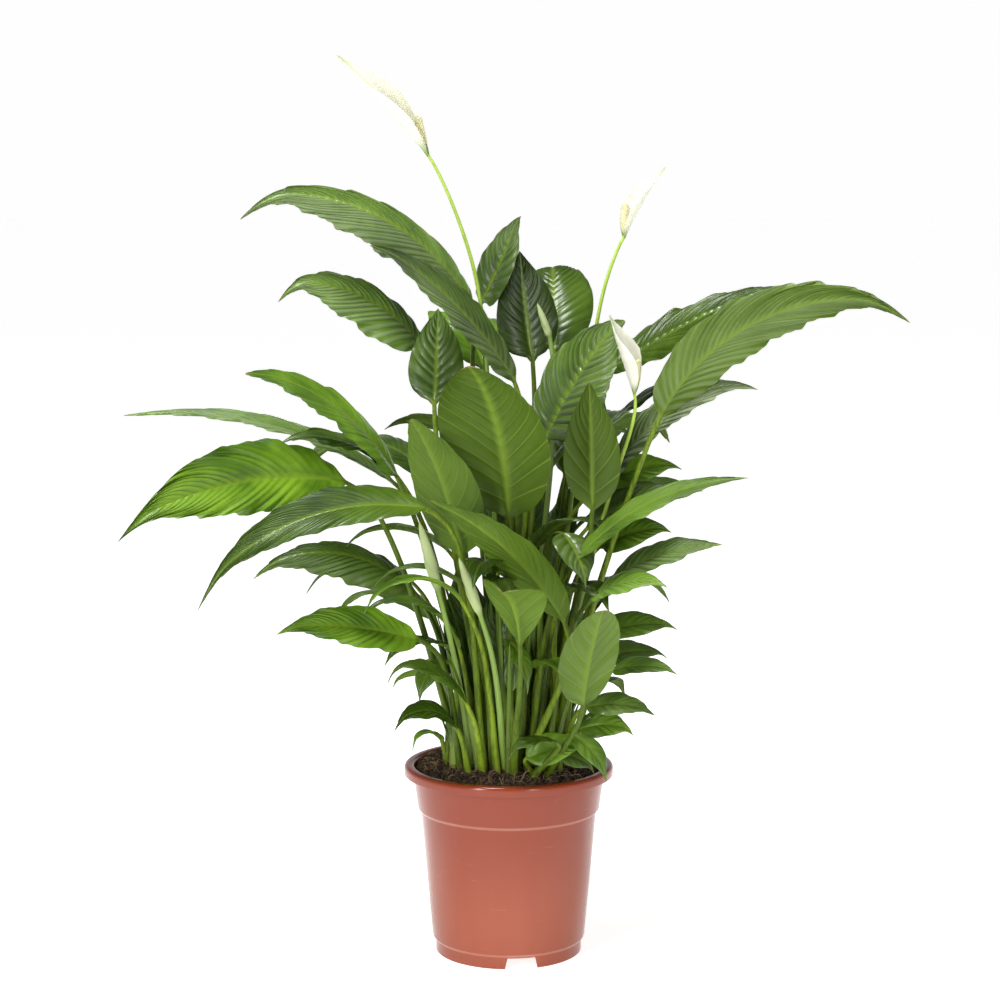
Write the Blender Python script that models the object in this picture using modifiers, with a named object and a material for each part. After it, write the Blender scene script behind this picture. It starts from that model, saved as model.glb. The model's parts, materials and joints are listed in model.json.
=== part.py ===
# Potted peace lily: a nursery pot, its soil, and the leaves, flowers and buds that stand in it.
# Written in millimetres and turned into metres by MM. +Z is up, -Y is the front, and the origin is
# on the pot's axis where it stands.

import math
from collections import namedtuple

import bmesh
import bpy
from mathutils import Vector

MM = 0.001
GAP = 0.3

# Pot
POT_HEIGHT = 155.0
RIM_RADIUS = 85.0
LIP_DEPTH = 8.0
COLLAR_TOP = 144.0
COLLAR_TOP_RADIUS = 77.2
COLLAR_BOTTOM = 119.0
COLLAR_BOTTOM_RADIUS = 74.0
BODY_TOP = 117.0
BODY_TOP_RADIUS = 71.5
BODY_BOTTOM = 12.0
BODY_BOTTOM_RADIUS = 62.0
FOOT_HEIGHT = 10.0
FOOT_RADIUS = 59.5
WALL = 1.5
FLOOR = 1.8
NOTCH_WIDTH = 25.0
NOTCH_HEIGHT = 9.0
NOTCH_COUNT = 3
NOTCH_START = -80.0
DRAIN_COUNT = 6
DRAIN_RADIUS = 5.0
DRAIN_CIRCLE = 40.0
TURN_STEPS = 36

# Soil
SOIL_CROWN = 156.0
SOIL_SHOULDER = 152.0
SOIL_SHOULDER_RADIUS = 52.0
SOIL_EDGE = 147.0
SOCKET_DEPTH = 9.0
SOCKET_SIDES = 8

# Stems
CROWN_DEPTH = 140.0
CROWN_REACH = 56.0
STEM_FOOT_RADIUS = 3.0
STEM_TOP_RADIUS = 1.7
STEM_RINGS = 5
RING_SIDES = 8

# Blades
BLADE_RINGS = 7
BLADE_THICKNESS = 1.0
BLADE_FOLD = 0.30
BLADE_DROOP = 0.28


def at(around, out, up):
    # A place told by its direction from the pot's axis, its reach from the axis and its height.
    angle = math.radians(around)
    return out * math.cos(angle), out * math.sin(angle), up


# Directions are in degrees seen from above: 0 right, 90 back, 180 left, 270 front. A leaf is told
# by the joint where its blade starts, the heading of the blade, its length and width, its slope at
# the joint (rise) and at the tip (fall), and the roll of its face about the midrib. The foot is
# where the stem enters the soil; left out, it follows from crown_foot.
Leaf = namedtuple("Leaf", "joint heading length width rise fall roll tone foot", defaults=(None,))

LEAVES = {
    # The left side, from the top down
    "leaf_high_left": Leaf(at(145, 35, 525), 195, 220, 56, 60, -10, -45, "fresh", (-13, 8)),
    "leaf_upper_left": Leaf(at(165, 70, 490), 200, 140, 50, 55, -5, -50, "fresh"),
    "leaf_left_reaching": Leaf(at(285, 20, 465), 190, 165, 46, 60, 30, -35, "deep"),
    "leaf_left_upright": Leaf(at(205, 65, 450), 85, 85, 44, 60, 80, 0, "deep", (-16, -5)),
    "leaf_left_bright": Leaf(at(190, 90, 390), 210, 165, 46, 60, 10, -40, "fresh", (-24, -10)),
    "leaf_left_far": Leaf(at(165, 95, 380), 185, 230, 40, 35, -5, -10, "fresh", (-31, 12)),
    "leaf_left_broad": Leaf(at(200, 135, 390), 220, 215, 60, 15, -25, -45, "fresh", (-38, -20)),
    "leaf_left_dark": Leaf(at(180, 90, 390), 200, 105, 48, 45, -5, -10, "deep", (-29, 1)),
    "leaf_left_arching": Leaf(at(235, 110, 375), 200, 200, 38, 15, -50, -45, "deep", (-19, -35)),
    "leaf_left_drooping": Leaf(at(185, 75, 295), 195, 145, 44, 50, -30, -40, "deep", (-40, -4)),
    "leaf_left_hooked": Leaf(at(245, 85, 300), 205, 95, 24, 55, -50, 0, "fresh", (-9, -45)),
    "leaf_left_striped": Leaf(at(225, 55, 255), 205, 105, 32, 75, -25, -10, "deep", (-24, -24)),
    "leaf_left_low": Leaf(at(225, 100, 270), 215, 130, 42, 20, 0, -45, "fresh", (-38, -32)),
    "leaf_left_low_dark": Leaf(at(245, 80, 220), 205, 75, 30, 60, 0, -20, "deep", (-20, -46)),
    "leaf_left_small": Leaf(at(230, 65, 195), 215, 65, 30, 55, -35, -25, "deep", (-32, -41)),
    "leaf_left_curled": Leaf(at(190, 55, 175), 215, 35, 18, 65, -60, 0, "fresh", (-50, -9)),
    # The top and the middle
    "leaf_top_upright": Leaf(at(125, 40, 525), 335, 85, 44, 60, 70, 60, "fresh", (-4, 16)),
    "leaf_top_dark": Leaf(at(50, 30, 480), 150, 95, 50, 80, 85, -50, "deep"),
    "leaf_back_round": Leaf(at(55, 65, 485), 90, 105, 68, 70, 20, 0, "deep"),
    "leaf_glossy_centre": Leaf(at(325, 35, 420), 350, 120, 76, 68, 48, 45, "fresh", (13, -12)),
    # The front, whose blades show their undersides
    "leaf_front_big": Leaf(at(270, 70, 365), 250, 160, 90, 85, 25, 0, "pale"),
    "leaf_front_left": Leaf(at(240, 75, 335), 215, 120, 66, 80, 55, 20, "pale", (-8, -14)),
    "leaf_front_crossing": Leaf(at(300, 85, 285), 200, 150, 46, 60, 25, 35, "pale", (13, -42)),
    "leaf_front_funnel": Leaf(at(275, 95, 270), 250, 65, 54, 80, 20, 0, "pale", (3, -51)),
    "leaf_front_round": Leaf(at(305, 100, 220), 300, 85, 52, 80, 60, 0, "pale", (30, -49)),
    "leaf_front_low": Leaf(at(295, 85, 190), 205, 42, 28, 20, -35, 0, "deep", (17, -55)),
    # The right side, from the top down
    "leaf_right_big": Leaf(at(340, 125, 440), 350, 230, 54, 65, -15, -55, "pale", (33, -21)),
    "leaf_right_bright": Leaf(at(15, 80, 470), 350, 165, 54, 35, 20, 30, "fresh", (25, 12)),
    "leaf_right_behind": Leaf(at(20, 85, 425), 0, 90, 40, 45, 20, 0, "deep", (30, 20)),
    "leaf_right_striped": Leaf(at(355, 80, 385), 340, 155, 46, 65, 5, 35, "deep", (31, -4)),
    "leaf_right_olive": Leaf(at(320, 85, 370), 260, 105, 46, 85, 70, 0, "pale", (26, -34)),
    "leaf_right_olive_back": Leaf(at(40, 60, 385), 45, 105, 48, 65, 60, 0, "fresh", (17, 13)),
    "leaf_right_long": Leaf(at(310, 80, 330), 340, 160, 30, 50, 5, 35, "fresh", (16, -31)),
    "leaf_right_low": Leaf(at(345, 85, 310), 335, 100, 38, 35, 5, 35, "deep", (42, -11)),
    "leaf_right_low_pale": Leaf(at(315, 90, 300), 325, 75, 30, 40, -10, 30, "fresh", (29, -42)),
    "leaf_right_dark": Leaf(at(345, 60, 335), 350, 45, 20, 60, 45, 0, "deep", (21, -8)),
    "leaf_right_inner": Leaf(at(5, 60, 265), 355, 50, 30, 60, 45, 0, "deep", (40, 5)),
    "leaf_right_thin": Leaf(at(345, 85, 235), 330, 60, 22, 25, -15, 30, "fresh", (48, -19)),
    "leaf_right_under": Leaf(at(325, 75, 210), 335, 60, 28, 20, -20, 30, "deep", (44, -27)),
    # The back
    "leaf_back_high": Leaf(at(110, 60, 470), 110, 140, 62, 60, -40, 0, "fresh", (-5, 25)),
    "leaf_back_right": Leaf(at(55, 90, 390), 50, 155, 58, 50, -40, 0, "deep", (20, 29)),
    "leaf_back_left": Leaf(at(130, 90, 370), 140, 175, 58, 45, -40, 0, "deep", (-20, 32)),
    "leaf_back_middle": Leaf(at(90, 75, 330), 85, 115, 54, 50, -40, 0, "fresh", (0, 36)),
}

# A flower's stalk rises through `mid` to `top`, where its spathe starts.
Flower = namedtuple("Flower", "mid top heading length width rise fall roll spadix foot")

FLOWERS = {
    "flower_high": Flower(at(180, 20, 530), at(200, 65, 645), 190, 105, 32, 55, 40, -50, 30,
                          (-5, -1)),
    "flower_right": Flower(at(5, 70, 515), at(5, 90, 580), 345, 65, 30, 68, 52, 40, 24, (23, 3)),
    "flower_inner": Flower(at(335, 90, 390), at(335, 110, 460), 185, 65, 32, 75, 70, -40, 24,
                           (22, -18)),
}

# A bud's stalk rises to `base`, where the rolled spathe starts on its heading and slope.
Bud = namedtuple("Bud", "base heading slope length radius foot")

BUDS = {
    "bud_left": Bud(at(230, 85, 305), 180, 75, 60, 5.0, (-29, -33)),
    "bud_middle": Bud(at(255, 85, 290), 180, 70, 50, 4.5, (-3, -41)),
    "bud_high": Bud(at(20, 35, 500), 180, 70, 30, 4.5, (12, 3)),
}

COLOURS = {
    "terracotta": ((0.53, 0.16, 0.09), 0.45),
    "soil": ((0.035, 0.02, 0.012), 0.95),
    "deep": ((0.02, 0.075, 0.018), 0.35),
    "fresh": ((0.07, 0.22, 0.03), 0.35),
    "pale": ((0.13, 0.26, 0.07), 0.5),
    "stalk": ((0.22, 0.36, 0.09), 0.5),
    "spathe": ((0.75, 0.77, 0.62), 0.5),
    "spadix": ((0.72, 0.66, 0.36), 0.7),
}


def clear_scene():
    for item in list(bpy.data.objects):
        bpy.data.objects.remove(item, do_unlink=True)


def new_collection(name):
    collection = bpy.data.collections.new(name)
    bpy.context.scene.collection.children.link(collection)
    return collection


def paint(item, tone):
    colour, roughness = COLOURS[tone]
    material = bpy.data.materials.new(item.name)
    material.use_nodes = True
    shader = material.node_tree.nodes["Principled BSDF"]
    shader.inputs["Base Color"].default_value = (*colour, 1.0)
    shader.inputs["Roughness"].default_value = roughness
    item.data.materials.append(material)


def add_mesh(name, work, collection, tone=None):
    bmesh.ops.recalc_face_normals(work, faces=work.faces)
    mesh = bpy.data.meshes.new(name)
    work.to_mesh(mesh)
    work.free()
    item = bpy.data.objects.new(name, mesh)
    collection.objects.link(item)
    if tone:
        mesh.shade_smooth()
        mesh.set_sharp_from_angle(angle=math.radians(40))
        paint(item, tone)
    return item


def add_turned(name, profile, collection, tone, ring=False):
    # The profile is (radius, height), up the inside and down the outside. It starts and ends on
    # the axis, or closes on itself where the piece is a ring.
    mesh = bpy.data.meshes.new(name)
    points = [(radius * MM, 0.0, height * MM) for radius, height in profile]
    edges = [(index, index + 1) for index in range(len(points) - 1)]
    if ring:
        edges.append((len(points) - 1, 0))
    mesh.from_pydata(points, edges, [])
    item = bpy.data.objects.new(name, mesh)
    collection.objects.link(item)
    screw = item.modifiers.new("Turn", "SCREW")
    screw.steps = TURN_STEPS
    screw.render_steps = TURN_STEPS
    screw.use_merge_vertices = True
    screw.merge_threshold = 0.00001
    screw.use_smooth_shade = True
    paint(item, tone)
    return item


def cut(item, cutters):
    boolean = item.modifiers.new("Cut", "BOOLEAN")
    boolean.operation = "DIFFERENCE"
    boolean.solver = "EXACT"
    boolean.operand_type = "COLLECTION"
    boolean.collection = cutters


def hide_cutter(item):
    item.hide_render = True
    item.display_type = "WIRE"


def add_cylinder_cutter(name, x, y, low, high, radius, collection):
    work = bmesh.new()
    bmesh.ops.create_cone(work, cap_ends=True, segments=SOCKET_SIDES, radius1=radius * MM,
                          radius2=radius * MM, depth=(high - low) * MM)
    item = add_mesh(name, work, collection)
    item.location = (x * MM, y * MM, (low + high) / 2 * MM)
    hide_cutter(item)


def inner_radius(height):
    # The pot's inside, straight between the floor, the collar's foot and the collar's top.
    if height < BODY_TOP:
        share = (height - BODY_BOTTOM) / (BODY_TOP - BODY_BOTTOM)
        return BODY_BOTTOM_RADIUS + share * (BODY_TOP_RADIUS - BODY_BOTTOM_RADIUS) - WALL
    share = (height - BODY_TOP) / (COLLAR_TOP - BODY_TOP)
    return BODY_TOP_RADIUS + share * (COLLAR_TOP_RADIUS - BODY_TOP_RADIUS) - WALL


def build_pot(parts):
    # One moulding, made as rim, wall, floor and foot with a hairline between them.
    floor_top = FOOT_HEIGHT + FLOOR
    lip_inside = RIM_RADIUS - WALL
    lip_bottom = POT_HEIGHT - LIP_DEPTH
    add_turned("pot_rim", [
        (inner_radius(COLLAR_TOP), COLLAR_TOP + GAP),
        (COLLAR_TOP_RADIUS - WALL + 0.6, POT_HEIGHT - 2.5),
        (COLLAR_TOP_RADIUS + 0.6, POT_HEIGHT - 0.5),
        (RIM_RADIUS - 2.0, POT_HEIGHT),
        (RIM_RADIUS - 0.5, POT_HEIGHT - 0.7),
        (RIM_RADIUS, POT_HEIGHT - 2.2),
        (RIM_RADIUS, lip_bottom + 0.5),
        (RIM_RADIUS - 0.5, lip_bottom),
        (lip_inside, lip_bottom),
        (lip_inside, POT_HEIGHT - 2.4),
        (COLLAR_TOP_RADIUS + 0.8, POT_HEIGHT - 2.4),
        (COLLAR_TOP_RADIUS, COLLAR_TOP + GAP),
    ], parts, "terracotta", ring=True)
    add_turned("pot_wall", [
        (inner_radius(floor_top + GAP), floor_top + GAP),
        (inner_radius(BODY_TOP), BODY_TOP),
        (inner_radius(COLLAR_TOP), COLLAR_TOP),
        (COLLAR_TOP_RADIUS, COLLAR_TOP),
        (COLLAR_BOTTOM_RADIUS, COLLAR_BOTTOM),
        (BODY_TOP_RADIUS, BODY_TOP),
        (BODY_BOTTOM_RADIUS, floor_top + GAP),
    ], parts, "terracotta", ring=True)
    floor = add_turned("pot_floor", [
        (0, floor_top),
        (BODY_BOTTOM_RADIUS, floor_top),
        (FOOT_RADIUS, FOOT_HEIGHT + GAP),
        (0, FOOT_HEIGHT + GAP),
    ], parts, "terracotta")
    drains = new_collection("drain_cutters")
    for index in range(DRAIN_COUNT):
        angle = math.tau * index / DRAIN_COUNT
        x = DRAIN_CIRCLE * math.cos(angle)
        y = DRAIN_CIRCLE * math.sin(angle)
        add_cylinder_cutter(f"drain_{index}", x, y, FOOT_HEIGHT - 3, floor_top + 3,
                            DRAIN_RADIUS, drains)
    cut(floor, drains)
    foot = add_turned("pot_foot", [
        (FOOT_RADIUS - WALL, 0),
        (FOOT_RADIUS - WALL, FOOT_HEIGHT),
        (FOOT_RADIUS, FOOT_HEIGHT),
        (FOOT_RADIUS, 0),
    ], parts, "terracotta", ring=True)
    notches = new_collection("notch_cutters")
    for index in range(NOTCH_COUNT):
        angle = math.radians(NOTCH_START) + math.tau * index / NOTCH_COUNT
        work = bmesh.new()
        bmesh.ops.create_cube(work, size=1.0)
        bmesh.ops.scale(work, vec=(20 * MM, NOTCH_WIDTH * MM, 2 * NOTCH_HEIGHT * MM),
                        verts=work.verts)
        notch = add_mesh(f"notch_{index}", work, notches)
        notch.location = (FOOT_RADIUS * math.cos(angle) * MM, FOOT_RADIUS * math.sin(angle) * MM, 0)
        notch.rotation_euler.z = angle
        hide_cutter(notch)
    cut(foot, notches)


def soil_height(radius):
    if radius < SOIL_SHOULDER_RADIUS:
        return SOIL_CROWN + (SOIL_SHOULDER - SOIL_CROWN) * radius / SOIL_SHOULDER_RADIUS
    edge_radius = inner_radius(COLLAR_TOP)
    share = (radius - SOIL_SHOULDER_RADIUS) / (edge_radius - SOIL_SHOULDER_RADIUS)
    return SOIL_SHOULDER + share * (SOIL_EDGE - SOIL_SHOULDER)


def build_soil(feet, parts, cutters):
    bottom = FOOT_HEIGHT + FLOOR + GAP
    profile = [
        (0, SOIL_CROWN),
        (SOIL_SHOULDER_RADIUS, SOIL_SHOULDER),
        (inner_radius(COLLAR_TOP) - GAP, SOIL_EDGE),
        (inner_radius(COLLAR_TOP) - GAP, COLLAR_TOP),
        (inner_radius(BODY_TOP) - GAP, BODY_TOP),
        (inner_radius(bottom) - GAP, bottom),
        (0, bottom),
    ]
    soil = add_turned("soil", profile, parts, "soil")
    for index, (x, y, radius) in enumerate(feet):
        low = soil_height(math.hypot(x, y)) - SOCKET_DEPTH - GAP
        add_cylinder_cutter(f"socket_{index}", x, y, low, SOIL_CROWN + 5, radius + 2 * GAP, cutters)
    cut(soil, cutters)


def crown_foot(joint):
    # Stems fan out from one point CROWN_DEPTH below the soil, so a foot is the joint drawn in
    # towards that point, and feet that would stand near the rim are eased back to CROWN_REACH.
    x, y, z = joint
    share = CROWN_DEPTH / (z - SOIL_CROWN + CROWN_DEPTH)
    reach = math.hypot(x, y) * share
    ease = CROWN_REACH * math.tanh(reach / CROWN_REACH) / max(reach, 1e-6)
    return x * share * ease, y * share * ease


def direction(heading, slope):
    heading = math.radians(heading)
    slope = math.radians(slope)
    return Vector((math.cos(slope) * math.cos(heading), math.cos(slope) * math.sin(heading),
                   math.sin(slope)))


def bezier(start, first, second, end, share):
    rest = 1 - share
    return (rest ** 3 * start + 3 * rest ** 2 * share * first
            + 3 * rest * share ** 2 * second + share ** 3 * end)


def stem_points(foot, joint, leaving, rings=STEM_RINGS):
    # A straight socketed end, then a curve that leaves the crown's fan and bends into the blade.
    x, y = foot
    surface = soil_height(math.hypot(x, y))
    start = Vector((x, y, surface + 1.0))
    end = Vector(joint)
    span = (end - start).length
    fan = (end - start).normalized()
    first = start + (fan + Vector((0, 0, 0.5))).normalized() * span * 0.35
    second = end - leaving * min(span * 0.3, 45.0)
    points = [Vector((x, y, surface - SOCKET_DEPTH + GAP))]
    points += [bezier(start, first, second, end, step / rings) for step in range(rings + 1)]
    return points


def round_ring(centre, side, normal, radius):
    ring = []
    for index in range(RING_SIDES):
        angle = math.tau * index / RING_SIDES
        ring.append(centre + radius * (math.cos(angle) * side + math.sin(angle) * normal))
    return ring


def blade_ring(centre, side, normal, half, thickness):
    # Across the blade the two halves fold up from the midrib and droop again to the edges.
    def at(share, lift):
        bend = half * (BLADE_FOLD * abs(share) - BLADE_DROOP * share * share)
        return centre + share * half * side + (bend + lift) * normal
    top = thickness / 2
    return [at(1, 0), at(0.5, top), at(0, top), at(-0.5, top),
            at(-1, 0), at(-0.5, -top), at(0, -top), at(0.5, -top)]


def blade_width(share):
    # Widest a third of the way along, with a long drawn-out tip; 1 at its widest.
    return (share / 0.35) ** 0.6 * ((1 - share) / 0.65) ** 1.1


def stem_rings(points, side, start_radius, end_radius):
    # Sections square to the stem; the side vector is carried down from the blade without twist.
    rings = []
    for index in range(len(points) - 1, -1, -1):
        if index in (0, 1):
            along = Vector((0, 0, 1))
        else:
            ahead = points[min(index + 1, len(points) - 1)]
            along = (ahead - points[index - 1]).normalized()
        side = (side - side.dot(along) * along).normalized()
        share = index / (len(points) - 1)
        radius = start_radius + (end_radius - start_radius) * share
        rings.append(round_ring(points[index], side, along.cross(side), radius))
    return rings[::-1]


def loft(name, rings, tip, collection, tone):
    work = bmesh.new()
    loops = [[work.verts.new(point * MM) for point in ring] for ring in rings]
    for low, high in zip(loops, loops[1:]):
        for index in range(RING_SIDES):
            after = (index + 1) % RING_SIDES
            work.faces.new((low[index], low[after], high[after], high[index]))
    work.faces.new(loops[0][::-1])
    point = work.verts.new(tip * MM)
    for index in range(RING_SIDES):
        work.faces.new((loops[-1][index], loops[-1][(index + 1) % RING_SIDES], point))
    bmesh.ops.triangulate(work, faces=work.faces)
    return add_mesh(name, work, collection, tone)


def blade_rings(start, heading, length, width, rise, fall, roll):
    # The midrib is an arc whose slope goes evenly from rise to fall.
    flat_side = Vector((-math.sin(math.radians(heading)), math.cos(math.radians(heading)), 0))
    turn = math.radians(roll)
    centre = Vector(start)
    rings = []
    for index in range(1, BLADE_RINGS + 1):
        share = index / BLADE_RINGS
        middle = (index - 0.5) / BLADE_RINGS
        centre = centre + direction(heading, rise + (fall - rise) * middle) * length / BLADE_RINGS
        along = direction(heading, rise + (fall - rise) * share)
        up = along.cross(flat_side)
        side = flat_side * math.cos(turn) + up * math.sin(turn)
        normal = along.cross(side)
        if index < BLADE_RINGS:
            half = width / 2 * blade_width(share)
            thickness = BLADE_THICKNESS * (1.6 - share)
            rings.append(blade_ring(centre, side, normal, half, thickness))
    return rings, centre


def build_leaf(name, leaf, parts):
    foot = leaf.foot or crown_foot(leaf.joint)
    leaving = direction(leaf.heading, leaf.rise)
    points = stem_points(foot, leaf.joint, leaving)
    heading = math.radians(leaf.heading)
    flat_side = Vector((-math.sin(heading), math.cos(heading), 0))
    turn = math.radians(leaf.roll)
    side = flat_side * math.cos(turn) + leaving.cross(flat_side) * math.sin(turn)
    stem = stem_rings(points, side, STEM_FOOT_RADIUS, STEM_TOP_RADIUS)
    blade, tip = blade_rings(leaf.joint, leaf.heading, leaf.length, leaf.width, leaf.rise,
                             leaf.fall, leaf.roll)
    loft(name, stem + blade, tip, parts, leaf.tone)
    return foot


def build_flower(name, flower, parts):
    # The stalk is a tube; the spathe and the spadix start just above its end.
    foot = flower.foot
    surface = soil_height(math.hypot(*foot))
    start = Vector((*foot, surface + 1.0))
    middle = Vector(flower.mid)
    top = Vector(flower.top)
    leaving = direction(flower.heading, flower.rise)
    rising = (middle - start).normalized()
    passing = (top - start).normalized()
    lower = [bezier(start, start + rising * 60, middle - passing * 60, middle, step / 6)
             for step in range(6)]
    upper = [bezier(middle, middle + passing * 25, top - leaving * 20, top, step / 5)
             for step in range(6)]
    points = [Vector((*foot, surface - SOCKET_DEPTH + GAP))] + lower + upper
    curve = bpy.data.curves.new(name + "_stalk", "CURVE")
    curve.dimensions = "3D"
    curve.bevel_depth = 2.2 * MM
    curve.bevel_resolution = 2
    curve.use_fill_caps = True
    spline = curve.splines.new("POLY")
    spline.points.add(len(points) - 1)
    for knot, point in zip(spline.points, points):
        knot.co = (*(point * MM), 1.0)
    stalk = bpy.data.objects.new(name + "_stalk", curve)
    parts.objects.link(stalk)
    paint(stalk, "stalk")

    heading = math.radians(flower.heading)
    flat_side = Vector((-math.sin(heading), math.cos(heading), 0))
    behind = leaving.cross(flat_side)
    root = top + leaving * GAP * 2
    spathe_root = root - behind * 2.2
    turn = math.radians(flower.roll)
    side = flat_side * math.cos(turn) + behind * math.sin(turn)
    blade, tip = blade_rings(spathe_root, flower.heading, flower.length, flower.width, flower.rise,
                             flower.fall, flower.roll)
    first = round_ring(spathe_root, side, leaving.cross(side), 1.2)
    loft(name + "_spathe", [first] + blade, tip, parts, "spathe")

    spadix_root = root + behind * 2.6
    rings = []
    for share, radius in ((0, 1.6), (0.12, 3.0), (0.5, 3.4), (0.85, 2.6), (0.97, 1.2)):
        centre = spadix_root + (leaving + behind * 0.25).normalized() * flower.spadix * share
        rings.append(round_ring(centre, flat_side, behind, radius))
    tip = spadix_root + (leaving + behind * 0.25).normalized() * flower.spadix
    loft(name + "_spadix", rings, tip, parts, "spadix")
    return foot


def build_bud(name, bud, parts):
    # One grown piece: a stalk that swells into the rolled spathe and ends in a point.
    leaving = direction(bud.heading, bud.slope)
    base = Vector(bud.base)
    points = stem_points(bud.foot, base, leaving)
    side = leaving.orthogonal().normalized()
    rings = stem_rings(points, side, STEM_FOOT_RADIUS, STEM_TOP_RADIUS)
    for share in (0.15, 0.4, 0.65, 0.88):
        radius = bud.radius * math.sin(math.pi * share ** 0.8) + 0.8
        centre = base + leaving * bud.length * share
        rings.append(round_ring(centre, side, leaving.cross(side), radius))
    loft(name, rings, base + leaving * bud.length, parts, "spathe")
    return bud.foot


clear_scene()
peace_lily = new_collection("potted_peace_lily")
soil_cutters = new_collection("soil_cutters")
build_pot(peace_lily)
feet = []
for leaf_name, leaf_spec in LEAVES.items():
    feet.append((*build_leaf(leaf_name, leaf_spec, peace_lily), STEM_FOOT_RADIUS))
for flower_name, flower_spec in FLOWERS.items():
    feet.append((*build_flower(flower_name, flower_spec, peace_lily), STEM_FOOT_RADIUS))
for bud_name, bud_spec in BUDS.items():
    feet.append((*build_bud(bud_name, bud_spec, peace_lily), STEM_FOOT_RADIUS))
build_soil(feet, peace_lily, soil_cutters)
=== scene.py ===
import json
import math

import bmesh
import bpy
import numpy as np
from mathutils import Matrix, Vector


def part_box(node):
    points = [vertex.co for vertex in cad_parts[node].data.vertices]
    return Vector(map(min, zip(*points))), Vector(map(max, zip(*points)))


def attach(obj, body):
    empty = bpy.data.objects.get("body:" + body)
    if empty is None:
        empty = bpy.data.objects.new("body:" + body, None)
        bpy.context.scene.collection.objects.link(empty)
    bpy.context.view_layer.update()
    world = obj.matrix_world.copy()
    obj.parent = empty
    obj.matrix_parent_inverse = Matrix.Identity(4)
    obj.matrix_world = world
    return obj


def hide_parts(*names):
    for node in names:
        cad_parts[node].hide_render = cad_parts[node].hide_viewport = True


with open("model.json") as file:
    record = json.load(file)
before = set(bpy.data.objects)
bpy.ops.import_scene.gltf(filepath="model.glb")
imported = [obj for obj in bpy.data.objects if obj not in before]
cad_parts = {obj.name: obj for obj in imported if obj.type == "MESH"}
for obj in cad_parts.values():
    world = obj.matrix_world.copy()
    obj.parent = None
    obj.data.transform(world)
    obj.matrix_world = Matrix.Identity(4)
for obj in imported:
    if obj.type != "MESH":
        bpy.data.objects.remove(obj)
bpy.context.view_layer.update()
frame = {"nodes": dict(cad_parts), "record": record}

millimetre = 0.001
loftForm = dict(merge=0.02, corners=8, bore=5.0)    # millimetres, and points in a ring
upright = np.array([0.0, 0.0, 1.0])
slotOf = {part["node"]: part["material_slot"] for part in frame["record"]["subparts"]}
print("frame loaded")


# The plant's skeleton, read from the frame

def mergedMesh(nodeName):
    # The points of a merged copy of the node's mesh, and its triangles as indices into them.
    work = bmesh.new()
    work.from_mesh(frame["nodes"][nodeName].data)
    bmesh.ops.remove_doubles(work, verts=work.verts, dist=loftForm["merge"] * millimetre)
    bmesh.ops.triangulate(work, faces=work.faces)
    work.verts.index_update()
    points = np.array([corner.co for corner in work.verts], dtype=float)
    triangles = np.array([[corner.index for corner in face.verts] for face in work.faces])
    work.free()
    return points, triangles


def edgesOf(triangles):
    pairs = np.vstack([triangles[:, [0, 1]], triangles[:, [1, 2]], triangles[:, [2, 0]]])
    return np.unique(np.sort(pairs, axis=1), axis=0)


def ringsFrom(points, triangles, start):
    # Each ring is the set of points one edge further from the start; given foot first.
    edges = edgesOf(triangles)
    edges = np.vstack([edges, edges[:, ::-1]])
    level = np.full(len(points), -1)
    level[start] = 0
    step = 0
    while (level == step).any():
        reached = edges[level[edges[:, 0]] == step, 1]
        level[reached[level[reached] < 0]] = step + 1
        step += 1
    return [points[level == number] for number in range(level.max(), -1, -1)]


def loftRings(nodeName):
    # The tip is a point where as many edges meet as a ring has corners: the one of these from
    # which the most rings come out whole.
    points, triangles = mergedMesh(nodeName)
    meeting = np.bincount(edgesOf(triangles).ravel(), minlength=len(points))
    corners = loftForm["corners"]
    tries = [ringsFrom(points, triangles, [start]) for start in np.flatnonzero(meeting == corners)]
    return max(tries, key=lambda rings: sum(len(ring) == corners for ring in rings))


def tubeRings(nodeName):
    # The top ring is what lies within one bore of the highest point.
    points, triangles = mergedMesh(nodeName)
    top = points[np.argmax(points[:, 2])]
    near = np.linalg.norm(points - top, axis=1) < loftForm["bore"] * millimetre
    return ringsFrom(points, triangles, np.flatnonzero(near))


def middlesOf(rings):
    return np.array([ring.mean(axis=0) for ring in rings])


def radiiOf(rings):
    return [np.linalg.norm(ring - ring.mean(axis=0), axis=1).mean() for ring in rings]


def curveThrough(points, where):
    # Catmull-Rom curve: it passes through each point, and where counts in points.
    padded = np.vstack([2 * points[0] - points[1], points, 2 * points[-1] - points[-2]])
    low = np.clip(where.astype(int), 0, len(points) - 2)
    share = (where - low)[:, None]
    a, b, c, d = (padded[low + step] for step in range(4))
    return 0.5 * (2 * b + (c - a) * share + (2 * a - 5 * b + 4 * c - d) * share ** 2
                  + (3 * b - a - 3 * c + d) * share ** 3)


def unit(vectors):
    return vectors / np.maximum(np.linalg.norm(vectors, axis=-1, keepdims=True), 1e-12)


def circle(count):
    # Angles spread evenly round a full turn, as one row.
    return np.linspace(0, 2 * math.pi, count, endpoint=False)[None]


def squared(middle, side):
    # The sides made square to the curve, and the normals square to both.
    tangent = unit(np.gradient(middle, axis=0))
    side = unit(side - (side * tangent).sum(axis=1, keepdims=True) * tangent)
    return side, np.cross(tangent, side)


def besidePath(middle, side, above, across, lift):
    # Points of a path moved this far along its side vectors and the vectors above it.
    return middle + across[..., None] * side + lift[..., None] * above


def levelVectors(turn):
    # Level unit vectors along a heading, and square to it on its left.
    flat = np.zeros_like(turn)
    return (np.stack([np.cos(turn), np.sin(turn), flat], axis=-1),
            np.stack([-np.sin(turn), np.cos(turn), flat], axis=-1))


def smoothStep(low, high, value):
    share = np.clip((value - low) / (high - low), 0, 1)
    return share * share * (3 - 2 * share)


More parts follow.
